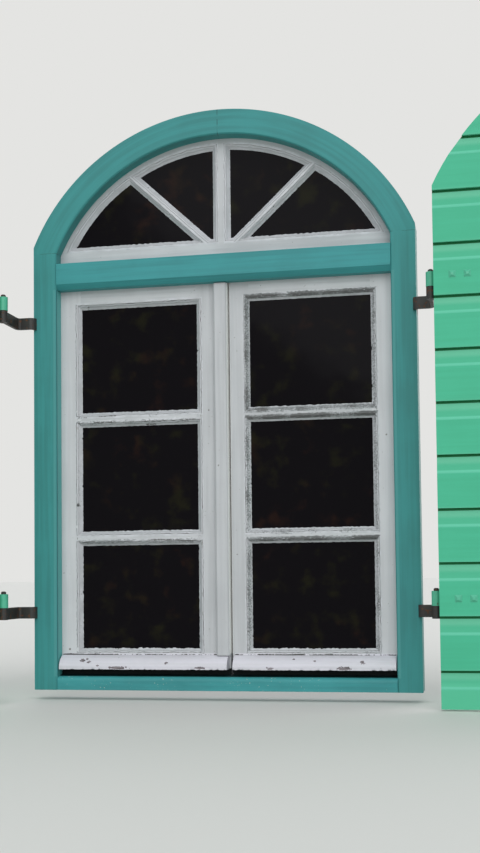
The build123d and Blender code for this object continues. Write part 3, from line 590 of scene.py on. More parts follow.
def smooth_step(value, low, high):
    """0 below low, 1 above high, with the cubic 3t^2 - 2t^3 between."""
    t = np.clip((value - low) / (high - low), 0, 1)
    return t * t * (3 - 2 * t)


def grid_faces(rows, columns, start, close_rows, close_columns):
    """Corner numbers of the quads between neighbouring points of a grid, as an (n, 4) array."""
    i = np.arange(rows if close_rows else rows - 1)
    j = np.arange(columns if close_columns else columns - 1)
    i, j = (part.ravel() for part in np.meshgrid(i, j, indexing="ij"))
    i1, j1 = (i + 1) % rows, (j + 1) % columns
    corners = np.stack([i * columns + j, i1 * columns + j, i1 * columns + j1, i * columns + j1], -1)
    return start + corners


def beam_faces(rows, columns):
    """Faces of a closed section carried along a line: the quads of its sides, then its two ends."""
    sides = grid_faces(rows, columns, 0, False, True).tolist()
    return sides + [list(range(columns)), list(range((rows - 1) * columns, rows * columns))]


def make_piece(name, points, faces, body, finish, crease, marks=None):
    """Put points and faces into a mesh with outward faces, and let it ride on a body. An edge that
    turns by more than `crease` degrees stays sharp. `marks` are values on the points, by name."""
    mesh = bpy.data.meshes.new(name)
    mesh.from_pydata(points.tolist(), [], faces)
    for mark, values in (marks or {}).items():
        mesh.attributes.new(mark, "FLOAT", "POINT").data.foreach_set("value", values.ravel())
    shell = bmesh.new()
    shell.from_mesh(mesh)
    bmesh.ops.recalc_face_normals(shell, faces=shell.faces)
    shell.to_mesh(mesh)
    shell.free()
    mesh.polygons.foreach_set("use_smooth", np.ones(len(mesh.polygons), bool))
    mesh.set_sharp_from_angle(angle=radians(crease))
    mesh.materials.append(finish)
    piece = bpy.data.objects.new(name, mesh)
    bpy.context.scene.collection.objects.link(piece)
    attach(piece, body)
    print(f"{name}: {len(mesh.polygons)} faces")
    return piece


# %% [markdown]
# ## Finish of old putty and flaking paint
# Linseed putty shrinks, cracks along the edge where it meets the timber and lets rain behind the
# paint, which then flakes off in small grey patches. Three marks on the mesh steer it: `reach`, how far
# a point lies from the glass, `loss`, how far the paint is gone there, and `level_run`, which is 1 on
# the level sides of a pane, where the flakes are drawn out along the bar, and 0 on the upright ones.

# %% Cracks in old putty
CRACK_W = 1.2 * MM
CRACKS = ((13.2 * MM, 1.0), (8.6 * MM, 0.45))     # place over the glass on an upright side, strength
LEVEL_SHIFT = 3.4 * MM                            # how much nearer the glass they run on a level side
GAPING_W = 0.9 * MM
WANDER = 5 * MM                                   # how far a crack strays to either side, in all
DOT_SIZE = 3.6 * MM
BROAD_SIZE = 40 * MM


def putty_cracks(tree, open_cracks, gaping):
    """Cracks at set distances from the glass. They wander with noise, and stand open here and there:
    `open_cracks` is how dark the best part of them is. `gaping` lists the widest, as (x0, x1, z) in
    mm."""
    reach = add(tree, "Attribute", {"attribute_name": "reach"}, {}).outputs["Fac"]
    level_run = add(tree, "Attribute", {"attribute_name": "level_run"}, {}).outputs["Fac"]
    shifted = add(tree, "Math", MULTIPLY_ADD, {0: speckled(tree, 20 * MM, 2.0), 1: WANDER, 2: reach})
    shifted = add(tree, "Math", MULTIPLY_ADD, {0: level_run, 1: LEVEL_SHIFT, 2: shifted})
    thin = []
    for place, strength in CRACKS:
        away = add(tree, "Math", SUBTRACT, {0: shifted, 1: place + WANDER / 2})
        away = add(tree, "Math", ABSOLUTE, {0: away})
        thin.append(add(tree, "MapRange", SMOOTH, {"Value": away, "From Min": CRACK_W * 0.4,
                                                   "From Max": CRACK_W * 1.2,
                                                   "To Min": strength, "To Max": 0.0}))
    gaps = add(tree, "MapRange", {}, {"Value": speckled(tree, BROAD_SIZE, 3.0), "From Min": 0.42,
                                      "From Max": 0.66, "To Min": 0.4, "To Max": open_cracks})
    wide = [crossing(tree, strip(tree, "X", x0 * MM, x1 * MM, 4 * MM),
                     broken_up(tree, DOT_SIZE, 0.40, 0.52, detail=5.0),
                     strip(tree, "Z", z * MM - GAPING_W, z * MM + GAPING_W, 1 * MM))
            for x0, x1, z in gaping]
    return either(tree, crossing(tree, either(tree, *thin), gaps), *wide)


# %% Flaking paint on old putty
def flaking_paint(name, open_cracks, gaping=()):
    """White paint over putty and timber. It is gone where `loss` and noise add up past a limit, and
    what shows is darker the greater the loss. A loss near 1 is a pit, nearly black."""
    finish, tree = new_finish(name)
    loss = add(tree, "Attribute", {"attribute_name": "loss"}, {}).outputs["Fac"]
    level_run = add(tree, "Attribute", {"attribute_name": "level_run"}, {}).outputs["Fac"]
    dots = speckled(tree, DOT_SIZE, 5.0)
    streaks = brushed(tree, "X", 2.0 * MM, 9 * MM)
    drawn_out = add(tree, "Math", MULTIPLY, {0: level_run, 1: 0.55})
    fine = add(tree, "Mix", {}, {0: drawn_out, 2: dots, 3: streaks})
    broad = speckled(tree, BROAD_SIZE, 3.0)
    cracks = putty_cracks(tree, open_cracks, gaping)

    worn = add(tree, "Math", MULTIPLY_ADD, {0: fine, 1: 1.5, 2: loss})
    worn = add(tree, "Math", MULTIPLY_ADD, {0: broad, 1: 0.3, 2: worn})
    lost = add(tree, "MapRange", SMOOTH, {"Value": worn, "From Min": 1.30, "From Max": 1.38})
    deep = add(tree, "MapRange", SMOOTH, {"Value": worn, "From Min": 1.50, "From Max": 1.72})
    pit = add(tree, "MapRange", SMOOTH, {"Value": loss, "From Min": 0.98, "From Max": 1.06})

    grain = broken_up(tree, 3 * MM, 0.38, 0.62)
    full = add(tree, "MapRange", SMOOTH, {"Value": broad, "From Min": 0.35, "From Max": 0.65})
    shallow = add(tree, "Mix", RGBA, {0: grain, 6: linear("#848788"), 7: linear("#a3a6a8")})
    bare = paint_over(tree, shallow, (deep, "#666767"))
    paint = add(tree, "Mix", RGBA, {0: full, 6: linear("#b9bbbe"), 7: linear("#c8cace")})
    colour = add(tree, "Mix", RGBA, {0: lost, 6: paint, 7: bare})
    colour = paint_over(tree, colour, (cracks, "#565453"), (pit, "#2c2826"))

    film = add(tree, "Math", ADD, {0: lost, 1: cracks})
    height = add(tree, "Math", MULTIPLY, {0: fine, 1: 0.5})
    height = add(tree, "Math", SUBTRACT, {0: height, 1: film})
    rough = add(tree, "MapRange", {}, {"Value": lost, "To Min": 0.5, "To Max": 0.88})
    surface(tree, colour, rough, height, 0.45, 0.5 * MM, {"Specular IOR Level": 0.4})
    return finish


left_gaping = ((-332, -290, 713), (-346, -292, 697.5), (-206, -184, 688.5), (-99, -75, 697),
               (-201, -121, 386), (-390, -370, 711))
right_gaping = ((330, 374, 695), (352, 380, 385), (86, 108, 424))
putty_finish = {"left": flaking_paint("flaking_white_paint_on_putty", 1.1, left_gaping),
                "right": flaking_paint("peeling_white_paint_on_putty", 1.0, right_gaping),
                "fanlight": flaking_paint("sound_white_paint_on_putty", 0.7)}
print("putty finishes:", list(putty_finish))

# %% [markdown]
# ## Putty pressed in by hand
# The fillet of putty runs round each pane like a small mitred moulding: from a thin edge on the
# timber down to the glass. A straight extrusion looks machined, so the fillet is a profile carried
# round the pane's outline instead, and its points are pushed about by uneven waves: lumps of about
# 12 mm, thumb marks of 40 mm, and bites where a piece has dropped out. The outline is kept as edges
# that know where they go when the pane grows by a distance d, so corners stay mitred: a straight edge
# moves out along its normal, and the arch only gets a larger radius.

# %% Outlines of the panes
def meet(first, second, d, near):
    """Where two edges of a pane cross once the pane has grown by d. An edge is a line (point, outward
    normal) or an arc (centre, radius)."""
    lines = [edge for edge in (first, second) if edge[0] == "line"]
    (p, n) = lines[0][1] + lines[0][2] * d, lines[0][2]
    t = np.array([-n[1], n[0]])
    if len(lines) == 2:
        q, m = lines[1][1] + lines[1][2] * d, lines[1][2]
        return p + t * (np.dot(q - p, m) / np.dot(t, m))
    arc = first if first[0] == "arc" else second
    c, r = arc[1], arc[2] + d
    foot = p - c
    along = -np.dot(foot, t)
    half = np.sqrt(r * r - np.dot(foot, foot) + along * along)
    ends = [p + t * (along + s * half) for s in (-1, 1)]
    return min(ends, key=lambda e: np.linalg.norm(e - near))


def pane_points(edges, corners, offsets, step):
    """Points (rows, columns, 2) round a pane: one row every `step`, one column for each offset.
    The second result says which edge each row lies on."""
    rows, sides = [], []
    for k, edge in enumerate(edges):
        start = np.array([meet(edges[k - 1], edge, d, corners[k]) for d in offsets])
        after = (k + 1) % len(edges)
        stop = np.array([meet(edge, edges[after], d, corners[after]) for d in offsets])
        t = np.arange(max(2, round(np.linalg.norm(stop[0] - start[0]) / step)))
        sides.append(np.full(len(t), k))
        t = (t / len(t))[:, None, None]
        if edge[0] == "line":
            rows.append(start + (stop - start) * t)
            continue
        a0 = np.arctan2(*(start - edge[1]).T[::-1])
        a1 = np.arctan2(*(stop - edge[1]).T[::-1])
        angle = a0 + (a1 - a0) * t[..., 0]
        radius = edge[2] + np.array(offsets)
        rows.append(edge[1] + radius[:, None] * np.stack([np.cos(angle), np.sin(angle)], -1))
    return np.concatenate(rows), np.concatenate(sides)


def line(px, pz, nx, nz):
    """A straight edge through a point, with its outward normal."""
    normal = np.array([nx, nz]) / np.hypot(nx, nz)
    return ("line", np.array([px, pz]), normal)


def box_pane(x0, x1, z0, z1):
    """Edges and corners of a square-cornered pane, anticlockwise from its lower left corner."""
    edges = [line(x0, z0, 0, -1), line(x1, z0, 1, 0), line(x0, z1, 0, 1), line(x0, z0, -1, 0)]
    corners = [np.array(c) for c in ((x0, z0), (x1, z0), (x1, z1), (x0, z1))]
    return edges, corners


def fan_panes():
    """Edges and corners of the fanlight's four panes: two over the slanting bars, two under."""
    centre = np.array([0.0, FAN_ARCH_Z])
    c, s = cos(FAN_BAR_ANGLE), sin(FAN_BAR_ANGLE)
    under = line(FAN_BAR_HALF * s, FAN_BAR_FOOT - FAN_BAR_HALF * c, -s, c)
    over = line(-FAN_BAR_HALF * s, FAN_BAR_FOOT + FAN_BAR_HALF * c, s, -c)
    foot = line(0, FAN_FOOT, 0, -1)
    middle = line(FAN_CENTRE_HALF, FAN_FOOT, -1, 0)
    arch = ("arc", centre, FAN_R)
    # Corners need only be roughly right: they tell which of an arc's two crossings is meant.
    bar_end = np.array([FAN_R * c * 0.8, FAN_BAR_FOOT + FAN_R * s * 0.8])
    lower = ([foot, arch, under], [np.array([0.07, FAN_FOOT]), np.array([0.4, FAN_FOOT]), bar_end])
    upper = ([foot, over, arch, middle], [np.array([FAN_CENTRE_HALF, FAN_FOOT]), np.array([0.03, FAN_FOOT]),
                                          bar_end, np.array([FAN_CENTRE_HALF, FAN_ARCH_Z + FAN_R])])
    return [lower, upper]


panes = {"left": [box_pane(-SIGHT_OUT, -SIGHT_IN, *z) for z in PANE_LEVELS],
         "right": [box_pane(SIGHT_IN, SIGHT_OUT, *z) for z in PANE_LEVELS],
         "fanlight": fan_panes()}
print("panes:", {side: len(rows) for side, rows in panes.items()})

# %% [markdown]
# The profile is a closed loop of offsets and depths. It starts under a skirt of paint that runs 6 mm
# on to the timber, comes over the putty's edge, falls to the glass and returns inside the rebate.
# Paint goes first where water stands: under the bars and on the slopes of the lower sides.

# %% Profile and rings of putty
PUTTY_STEP = 2.4 * MM
profile = np.array([  # offset from the glass's sight line and depth behind the face, in mm
    (16.5, 0.4), (16.2, -0.15), (13.5, -0.3), (11.6, -0.35), (10.4, -0.3), (9.6, 0.2), (8.2, 1.6),
    (6.6, 3.7), (5.0, 5.8), (3.4, 7.8), (1.8, 9.8), (0.6, 11.2), (-0.4, 11.9), (0.5, 12.0), (9.0, 12.0),
    (9.8, 6.0), (10.4, 1.2),
]) * MM
slope_share = np.array([0, 0.1, 0.3, 0.6, 0.9, 1, 1, 1, 1, 1, 1, 1, 0.7, 0, 0, 0, 0])
RIM_COLUMNS = slice(0, 2)          # outer edge of the paint on the timber
GLASS_COLUMNS = slice(11, 14)      # foot of the slope on the glass
# Share of the paint lost across the putty, at these distances from the glass: on an upright side,
# under a bar and over one.
PLACES = np.array([0, 3.5, 5, 11, 13, 16]) * MM
UPRIGHT_LOSS = (0.6, 0.8, 1, 1, 0.5, 0.1)
UNDER_BAR_LOSS = (0.1, 0.2, 0.95, 1.15, 1.05, 0.7)
OVER_BAR_LOSS = (0.5, 0.8, 1, 1, 0.9, 0.8)
MOST_LOSS = 0.84


def putty_ring(pane, face, seed, rough, wear, pits):
    """One ring of putty: the profile carried round the pane. Lumps lift the slope, its foot on the
    glass and its outer edge wander, and bites are missing. `wear` is the share of paint lost along
    each edge, and pits are holes given as (x, z, radius) in mm."""
    edges, corners = pane
    flat, sides = pane_points(edges, corners, list(profile[:, 0]), PUTTY_STEP)
    x, z = flat[..., 0], flat[..., 1]
    lumps = 0.55 * waves_of(x, z, 13 * MM, seed) + 0.45 * waves_of(x, z, 38 * MM, seed + 1)
    bites = smooth_step(waves_of(x, z, 17 * MM, seed + 2), 1.05, 1.35) * slope_share
    low = smooth_step(-z, -(z.min() + 30 * MM), -(z.min() + 12 * MM))
    height = (0.7 + 0.9 * low) * rough * lumps * slope_share
    height = np.maximum(height, -0.9) - 2.0 * bites
    depth = profile[:, 1] - height * MM
    centre = flat.reshape(-1, 2).mean(0)
    outward = flat - centre
    outward /= np.linalg.norm(outward, axis=-1, keepdims=True)
    foot_wander = waves_of(x, z, 10 * MM, seed + 3) * (0.6 + 1.4 * low) * MM * rough
    edge_wander = waves_of(x, z, 11 * MM, seed + 4) * 1.4 * MM
    shift = np.zeros_like(x)
    shift[:, GLASS_COLUMNS] = 0.4 * MM - foot_wander[:, GLASS_COLUMNS]
    shift[:, RIM_COLUMNS] = edge_wander[:, RIM_COLUMNS]
    flat = flat + outward * shift[..., None]
    points = np.stack([flat[..., 0], face + depth, flat[..., 1]], -1)

    reach = np.broadcast_to(profile[:, 0], x.shape)
    along = np.clip(0.9 + 0.26 * waves_of(x, z, 75 * MM, seed + 5), 0.35, 1.35)
    upright, under_bar, over_bar = (np.interp(profile[:, 0], PLACES, share)
                                    for share in (UPRIGHT_LOSS, UNDER_BAR_LOSS, OVER_BAR_LOSS))
    across = np.where((sides == 2)[:, None], under_bar, np.where((sides == 0)[:, None], over_bar, upright))
    loss = np.array(wear)[sides][:, None] * along * across + 0.3 * bites
    loss = np.minimum(loss, MOST_LOSS)
    for px, pz, radius in pits:
        near = np.hypot(x - px * MM, z - pz * MM) / (radius * MM)
        loss = np.maximum(loss, 1.4 - 0.4 * near)
    level_run = np.broadcast_to((sides % 2 == 0)[:, None], x.shape)
    return points, {"reach": reach, "loss": loss, "level_run": level_run}


# %% Putty round the panes
UPPER_SHARE = 0.65         # roughness of the upper panes' putty to the lowest one's


def putty_piece(side, body, face, node, rough, wears, pits=()):
    """All rings of one leaf or of the fanlight, joined in one piece. The lowest pane gets the most
    rain, so its putty is the roughest."""
    rings = [putty_ring(pane, face, 40 * k + len(side), rough * (1.0 if k == 0 else UPPER_SHARE), wear, pits)
             for k, (pane, wear) in enumerate(zip(panes[side], wears))]
    if side == "fanlight":
        rings += [(points * (-1, 1, 1), marks) for points, marks in rings]
    faces, start = [], 0
    for points, _ in rings:
        rows, columns = points.shape[:2]
        faces.append(grid_faces(rows, columns, start, True, True))
        start += rows * columns
    points = np.concatenate([ring[0].reshape(-1, 3) for ring in rings])
    marks = {mark: np.concatenate([ring[1][mark].ravel() for ring in rings])
             for mark in ("reach", "loss", "level_run")}
    piece = make_piece(f"{side}_old_putty", points, np.concatenate(faces).tolist(), body,
                       putty_finish[side], crease=50, marks=marks)
    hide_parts(node)


# Share of paint lost along the bottom, right, top and left of each pane, the lowest pane first.
left_wear = ((0.26, 0.2, 0.5, 0.22), (0.22, 0.2, 0.42, 0.2), (0.32, 0.2, 0.2, 0.2))
right_wear = ((0.34, 0.5, 0.86, 0.54), (0.42, 0.52, 0.88, 0.56), (0.7, 0.58, 0.85, 0.75))
fan_wear = ((0.2, 0.1, 0.15), (0.1, 0.15, 0.1, 0.1))
putty_piece("left", "left_casement", leaf_face, "left_putty", 1.0, left_wear, ((-393, 480, 1.9),))
putty_piece("right", "right_casement", leaf_face, "right_putty", 0.85, right_wear)
putty_piece("fanlight", "frame", fan_face, "fanlight_putty", 0.7, fan_wear)

# %% [markdown]
# ## Worn drip boards
# A drip board throws the rain clear of the sill, so it is the first piece to suffer: its nose is
# ragged, chips are gone from its rounded top, and the joint behind it has opened. Its section is one
# closed line, resampled evenly and carried along X. Waves move the section along its own normal, and
# chips are round fields with uneven edges that take off a little wood and mark the paint as lost.

# %% Section of the drip board
DRIP_FOOT = 53 * MM
DRIP_TOP = 88 * MM
DRIP_REACH = 35 * MM       # how far the nose stands out from the casement
NOSE_H = 9 * MM
LEDGE = 6 * MM
THROAT = 4 * MM            # groove under the nose that makes the water drop off
SEAT = 0.4 * MM            # how far a board's back sits in the timber behind it
SECTION_STEP = 1.7 * MM
DRIP_STEP = 2.2 * MM


def arc_through(a, b, c, count):
    """Points on the circle through a, b and c, from a to c. The centre solves |p-a| = |p-b| = |p-c|."""
    a, b, c = (np.array(p) for p in (a, b, c))
    normals = np.array([b - a, c - a])
    centre = np.linalg.solve(normals, 0.5 * np.array([b @ b - a @ a, c @ c - a @ a]))
    angles = [np.arctan2(*(p - centre)[::-1]) for p in (a, b, c)]
    angles = np.unwrap(angles)
    radius = np.linalg.norm(a - centre)
    sweep = np.linspace(angles[0], angles[2], count)
    return centre + radius * np.stack([np.cos(sweep), np.sin(sweep)], -1)


def resample(line_points, step):
    """Points at even distances along a closed line."""
    closed = np.concatenate([line_points, line_points[:1]])
    lengths = np.linalg.norm(np.diff(closed, axis=0), axis=1)
    travel = np.concatenate([[0], np.cumsum(lengths)])
    even = np.linspace(0, travel[-1], int(travel[-1] / step), endpoint=False)
    return np.stack([np.interp(even, travel, closed[:, k]) for k in (0, 1)], -1)


nose_y = leaf_face - DRIP_REACH
nose_z = DRIP_FOOT + NOSE_H
belly = (leaf_face - 0.7 * DRIP_REACH, nose_z + 0.6 * (DRIP_TOP - nose_z))
crown = arc_through((leaf_face - LEDGE, DRIP_TOP), belly, (nose_y, nose_z), 20)
section = resample(np.concatenate([
    [(leaf_face + SEAT, DRIP_TOP + 5 * MM), (leaf_face - 0.5 * MM, DRIP_TOP + 4 * MM),
     (leaf_face - 0.6 * MM, DRIP_TOP + 0.5 * MM)],
    crown,
    [(nose_y, DRIP_FOOT), (nose_y + THROAT, DRIP_FOOT), (nose_y + THROAT, DRIP_FOOT + THROAT),
     (nose_y + 2 * THROAT, DRIP_FOOT + THROAT), (nose_y + 2 * THROAT, DRIP_FOOT),
     (leaf_face + SEAT, DRIP_FOOT)],
]), SECTION_STEP)
print("section points:", len(section))


# %% Shape of a drip board
def drip_piece(side, body, node, x0, x1, chips, wide_crack, seed):
    """The section carried from x0 to x1, its nose ragged by waves. Each chip is (x, z, radius along,
    radius up), in mm, and the crack over the board gapes between the two x of wide_crack."""
    x = np.linspace(x0, x1, round((x1 - x0) / DRIP_STEP))
    y, z = section[:, 0], section[:, 1]
    tangent = np.roll(section, -1, 0) - np.roll(section, 1, 0)
    tangent /= np.linalg.norm(tangent, axis=1, keepdims=True)
    normal = np.stack([-tangent[:, 1], tangent[:, 0]], -1)
    if np.sum(normal[:, 0] * (y - y.mean())) < 0:
        normal = -normal
    grid_x, grid_z = np.meshgrid(x, z, indexing="ij")
    grid_y = np.broadcast_to(y, grid_x.shape)
    outside = smooth_step(-grid_y, -(leaf_face - 1.2 * MM), -(leaf_face - 4 * MM))
    swell = (0.30 * waves_of(grid_x, grid_z, 26 * MM, seed)
             + 0.16 * waves_of(grid_x, grid_z, 7 * MM, seed + 1))
    edge = np.exp(-((grid_y - nose_y) ** 2 + (grid_z - DRIP_FOOT) ** 2) / (3.2 * MM) ** 2)
    ragged = np.clip(waves_of(grid_x, 0 * grid_x, 12 * MM, seed + 2)
                     + 0.8 * waves_of(grid_x, 0 * grid_x, 55 * MM, seed + 3), 0, 2)
    loss = 0.26 * edge * ragged
    taken = 1.7 * edge * ragged
    front = smooth_step(-grid_y, -(leaf_face - 5 * MM), -(leaf_face - 8 * MM))
    uneven = 0.35 * waves_of(grid_x, grid_z, 6 * MM, seed + 5)
    for cx, cz, rx, rz in chips:
        away = np.hypot((grid_x - cx * MM) / (rx * MM), (grid_z - cz * MM) / (rz * MM)) + uneven
        chip = (1 - smooth_step(away, 0.75, 1.1)) * np.where(grid_z > DRIP_FOOT + 0.5 * MM, 1, 0) * front
        loss = np.maximum(loss, 0.6 * chip)
        taken = np.maximum(taken, 1.0 * chip)
    push = (swell * outside - taken) * MM
    points = np.stack([grid_x, grid_y + normal[:, 0] * push, grid_z + normal[:, 1] * push], -1)
    joint_z = DRIP_TOP + 1.2 * MM + 0.9 * MM * waves_of(grid_x, grid_x * 0, 80 * MM, seed + 6)
    joint = np.exp(-((grid_z - joint_z) ** 2 + (grid_y - leaf_face) ** 2) / (2.6 * MM) ** 2)
    middle, half = sum(wide_crack) * MM / 2, (wide_crack[1] - wide_crack[0]) * MM / 2
    gaping = 1 - smooth_step(np.abs(grid_x - middle), 0.7 * half, 1.1 * half)
    comes_and_goes = smooth_step(waves_of(grid_x, grid_x * 0, 60 * MM, seed + 4), -0.6, 0.2)
    crack = joint * (0.57 + 0.22 * comes_and_goes + 0.65 * gaping)
    marks = {"loss": loss, "crack": crack}
    piece = make_piece(f"{side}_worn_drip_board", points.reshape(-1, 3), beam_faces(*grid_x.shape), body,
                       drip_finish, crease=45, marks=marks)
    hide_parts(node)


# %% Paint of the drip boards
def weather_board_paint(name):
    """The white paint of the drip boards, renewed more often and so a little brighter. `loss` shows
    grey timber, and `crack` the dark open joint behind the board."""
    finish, tree = new_finish(name)
    loss = add(tree, "Attribute", {"attribute_name": "loss"}, {}).outputs["Fac"]
    crack = add(tree, "Attribute", {"attribute_name": "crack"}, {}).outputs["Fac"]
    fine = speckled(tree, 5 * MM, 5.0)
    strokes = brushed(tree, "X", STROKE_W, STROKE_LEN)
    grain = brushed(tree, "X", 1.5 * MM, 30 * MM)
    worn = add(tree, "Math", ADD, {0: loss, 1: fine})
    lost = add(tree, "MapRange", SMOOTH, {"Value": worn, "From Min": 0.74, "From Max": 0.78})
    split = add(tree, "Math", ADD, {0: crack, 1: fine})
    split = add(tree, "MapRange", SMOOTH, {"Value": split, "From Min": 0.98, "From Max": 1.12})
    veins = add(tree, "MapRange", SMOOTH, {"Value": grain, "From Min": 0.4, "From Max": 0.6})
    full = add(tree, "MapRange", SMOOTH, {"Value": strokes, "From Min": 0.35, "From Max": 0.65})
    bare = add(tree, "Mix", RGBA, {0: veins, 6: linear("#655f61"), 7: linear("#948c91")})
    paint = add(tree, "Mix", RGBA, {0: full, 6: linear("#cccbd1"), 7: linear("#d2d0d8")})
    colour = add(tree, "Mix", RGBA, {0: lost, 6: paint, 7: bare})
    colour = paint_over(tree, colour, (split, "#3d3b39"))
    height = add(tree, "Math", SUBTRACT, {0: fine, 1: lost})
    rough = add(tree, "MapRange", {}, {"Value": lost, "To Min": 0.45, "To Max": 0.88})
    surface(tree, colour, rough, height, 0.5, 0.5 * MM, {"Specular IOR Level": 0.3})
    return finish


drip_finish = weather_board_paint("worn_white_paint_on_drip_board")

# %% The two drip boards
left_chips = ((-373, 76, 7, 4), (-355, 72, 5, 3), (-362, 79, 4, 2), (-278, 57, 24, 4), (-330, 63, 4, 2),
              (-150, 70, 5, 3), (-60, 58, 14, 3))
right_chips = ((179, 80, 3, 2), (352, 73, 5, 4), (307, 58, 18, 5), (120, 57, 10, 3), (232, 76, 3, 2))
drip_lo, drip_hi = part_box("left_drip_board")
drip_piece("left", "left_casement", "left_drip_board", drip_lo.x, drip_hi.x, left_chips, (-432, -335), 11)
drip_lo, drip_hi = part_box("right_drip_board")
drip_piece("right", "right_casement", "right_drip_board", drip_lo.x, drip_hi.x, right_chips, (150, 205), 23)

# %% [markdown]
# ## A worn sill
# Rain runs over the sill's front edge, and coat on coat of paint has rounded it: what was a sharp
# arris is a soft roll. The section is again one closed line carried along X, with low waves in the
# paint. Behind the stop the sill is a plain board under the casements, a second closed shell.

# %% The sill
SILL_STEP = 5 * MM
STOP_BACK = -4 * MM         # the stop's back, against which the casements shut
STOP_TOP = 39 * MM
BED_TOP = 22 * MM           # the plain board behind the stop
ROLL_TOP = 35 * MM          # where the sill's roll starts and where it meets the upright front
ROLL_FOOT = 24 * MM
ARRIS = 0.5 * MM
sill_lo, sill_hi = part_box("sill")
sill_roll = arc_through((STOP_BACK - 21 * MM, ROLL_TOP), (sill_lo.y + 3.6 * MM, 31.6 * MM),
                        (sill_lo.y, ROLL_FOOT), 12)
stop_section = resample(np.concatenate([
    [(sill_lo.y, ARRIS), (sill_lo.y + ARRIS, 0), (STOP_BACK + SEAT, 0),
     (STOP_BACK + SEAT, BED_TOP - ARRIS), (STOP_BACK, BED_TOP + ARRIS), (STOP_BACK, STOP_TOP)],
    sill_roll,
]), 2.2 * MM)
sill_x = np.linspace(-JAMB_INNER, JAMB_INNER, round(2 * JAMB_INNER / SILL_STEP))
grid_x, grid_z = np.meshgrid(sill_x, stop_section[:, 1], indexing="ij")
grid_y = np.broadcast_to(stop_section[:, 0], grid_x.shape)
shown = smooth_step(-grid_y, 8 * MM, 14 * MM) * smooth_step(grid_z, 2 * MM, 5 * MM)
dent = 0.35 + 0.3 * waves_of(grid_x, grid_z, 34 * MM, 61) + 0.12 * waves_of(grid_x, grid_z, 11 * MM, 62)
dent = np.clip(shown * dent, 0, 1.5) * MM
stop = np.stack([grid_x, grid_y + dent, grid_z - 0.4 * dent], -1)
bed = np.array([(x, y, z) for x in (sill_lo.x, sill_hi.x) for y, z in
                ((STOP_BACK, 0), (sill_hi.y, 0), (sill_hi.y, BED_TOP), (STOP_BACK, BED_TOP))])
faces = beam_faces(*grid_x.shape) + [[grid_x.size + k for k in side] for side in (
    (0, 1, 2, 3), (4, 5, 6, 7), (0, 1, 5, 4), (1, 2, 6, 5), (2, 3, 7, 6), (3, 0, 4, 7))]
sill = make_piece("worn_sill", np.concatenate([stop.reshape(-1, 3), bed]), faces, "frame", teal_level,
                  crease=45)
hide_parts("sill")

# %% [markdown]
# ## Screws
# The hinges, the catch and the battens are held by slotted steel screws, painted over with whatever they
# hold. A head is a low dome worked out on rings and spokes, with a straight slot pressed in: a point within
# half a slot's width of the slot's line drops by the slot's depth. Every slot stands at its own angle, as
# screws do. The heads of each kind of screw on one body are one piece.

# %% Slotted screw heads
RINGS = np.array([0.16, 0.3, 0.62, 0.86, 1.0, 1.0])        # radii, as shares of the head's
SPOKES = 20
SLOT_HALF = 0.17
HEAD_SUNK = 0.6 * MM


def screw_heads(name, body, finish, places, radius, dome, seed):
    """Heads facing +Y at each (x, y, z) in metres. Height over the plate is dome * (1 - 0.8 r^2), less
    the slot, and the last ring goes under the surface to close the head."""
    rng = np.random.default_rng(seed)
    spoke = np.arange(SPOKES) * 2 * pi / SPOKES
    u = RINGS[:, None] * np.cos(spoke)
    v = RINGS[:, None] * np.sin(spoke)
    height = dome * (1 - 0.8 * RINGS[:, None] ** 2) - np.where(np.abs(v) < SLOT_HALF, 0.75 * dome, 0)
    height[-1] = -HEAD_SUNK
    points, faces = [], []
    for x, y, z in places:
        turn = rng.uniform(0, pi)
        start = sum(len(p) for p in points)
        a = radius * (u * np.cos(turn) - v * np.sin(turn))
        b = radius * (u * np.sin(turn) + v * np.cos(turn))
        points.append(np.stack([x + a, y + height, z + b], -1).reshape(-1, 3))
        faces += [[start + k for k in face] for face in beam_faces(len(RINGS), SPOKES)]
    make_piece(name, np.concatenate(points), faces, body, finish, crease=35)


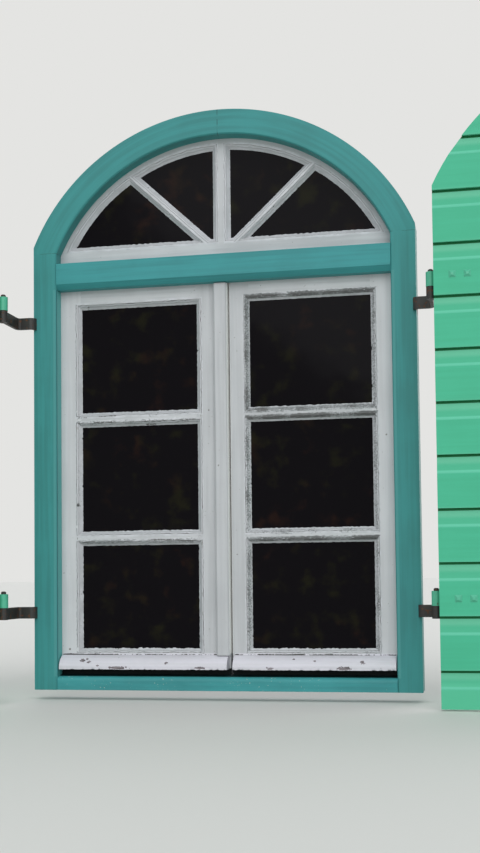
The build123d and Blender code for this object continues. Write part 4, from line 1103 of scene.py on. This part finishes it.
# %% Screws in the hinges and the catch
HINGE_X, HINGE_ROWS = 0.4495, (0.195, 0.889)        # the pins' lines and the hinges' middles
FLAP_SCREWS = ((0.0135, -0.026), (0.0225, 0.0), (0.0135, 0.026))     # away from the pin, up from the middle
CATCH_Z = 0.560
plate_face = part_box("catch_plate")[1].y


def hinge_places(side, direction):
    """Three screws on each flap of the two hinges of one leaf: direction 1 is the jamb's flap."""
    return [(side * (HINGE_X + direction * away), plate_face, z + up)
            for z in HINGE_ROWS for away, up in FLAP_SCREWS]


def plate_places(middle, half_x, half_z):
    """Four screws in the corners of one of the catch's plates."""
    return [(middle + dx, plate_face, CATCH_Z + dz) for dx in (-half_x, half_x) for dz in (-half_z, half_z)]


for name, body, places, seed in (
        ("frame_hinge_screws", "frame", hinge_places(1, 1) + hinge_places(-1, 1), 1),
        ("left_hinge_screws", "left_casement", hinge_places(-1, -1), 2),
        ("right_hinge_screws", "right_casement", hinge_places(1, -1), 3)):
    screw_heads(name, body, white_iron, places, 3.4 * MM, 0.9 * MM, seed)
screw_heads("catch_plate_screws", "right_casement", brass,
            plate_places(0.044, 0.008, 0.025), 2.2 * MM, 0.35 * MM, 4)
screw_heads("catch_keeper_screws", "left_casement", brass,
            plate_places(-0.0115, 0.0115, 0.0095), 2.0 * MM, 0.35 * MM, 5)

# %% Screws in the shutters' battens
STRAP_ZS = (0.2325, 0.990)
STRAP_CLEAR = 0.030
BOARD_RISES = ((0.036, 0.012), (0.088, -0.012))     # two screws for each board: up from its foot, aside
BATTENS = ((0.6090, 1.228), (1.0165, 1.486))        # middle of each batten and height of its upper end


def batten_places(side):
    """Two screws for each board in each batten, clear of the straps and of the battens' ends."""
    batten_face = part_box("right_shutter_hinge_batten")[1].y
    places = []
    for middle, top in BATTENS:
        for k in range(-1, 12):
            for rise, aside in BOARD_RISES:
                z = GROOVE_TOP + k * BOARD_PITCH + rise
                if 0.03 < z < top and all(abs(z - strap) > STRAP_CLEAR for strap in STRAP_ZS):
                    places.append((side * (middle + aside), batten_face, z))
    return places


for name, body, side, seed in (("right_batten_screws", "right_shutter", 1, 6),
                               ("left_batten_screws", "left_shutter", -1, 7)):
    screw_heads(name, body, green_iron, batten_places(side), 4.2 * MM, 1.0 * MM, seed)
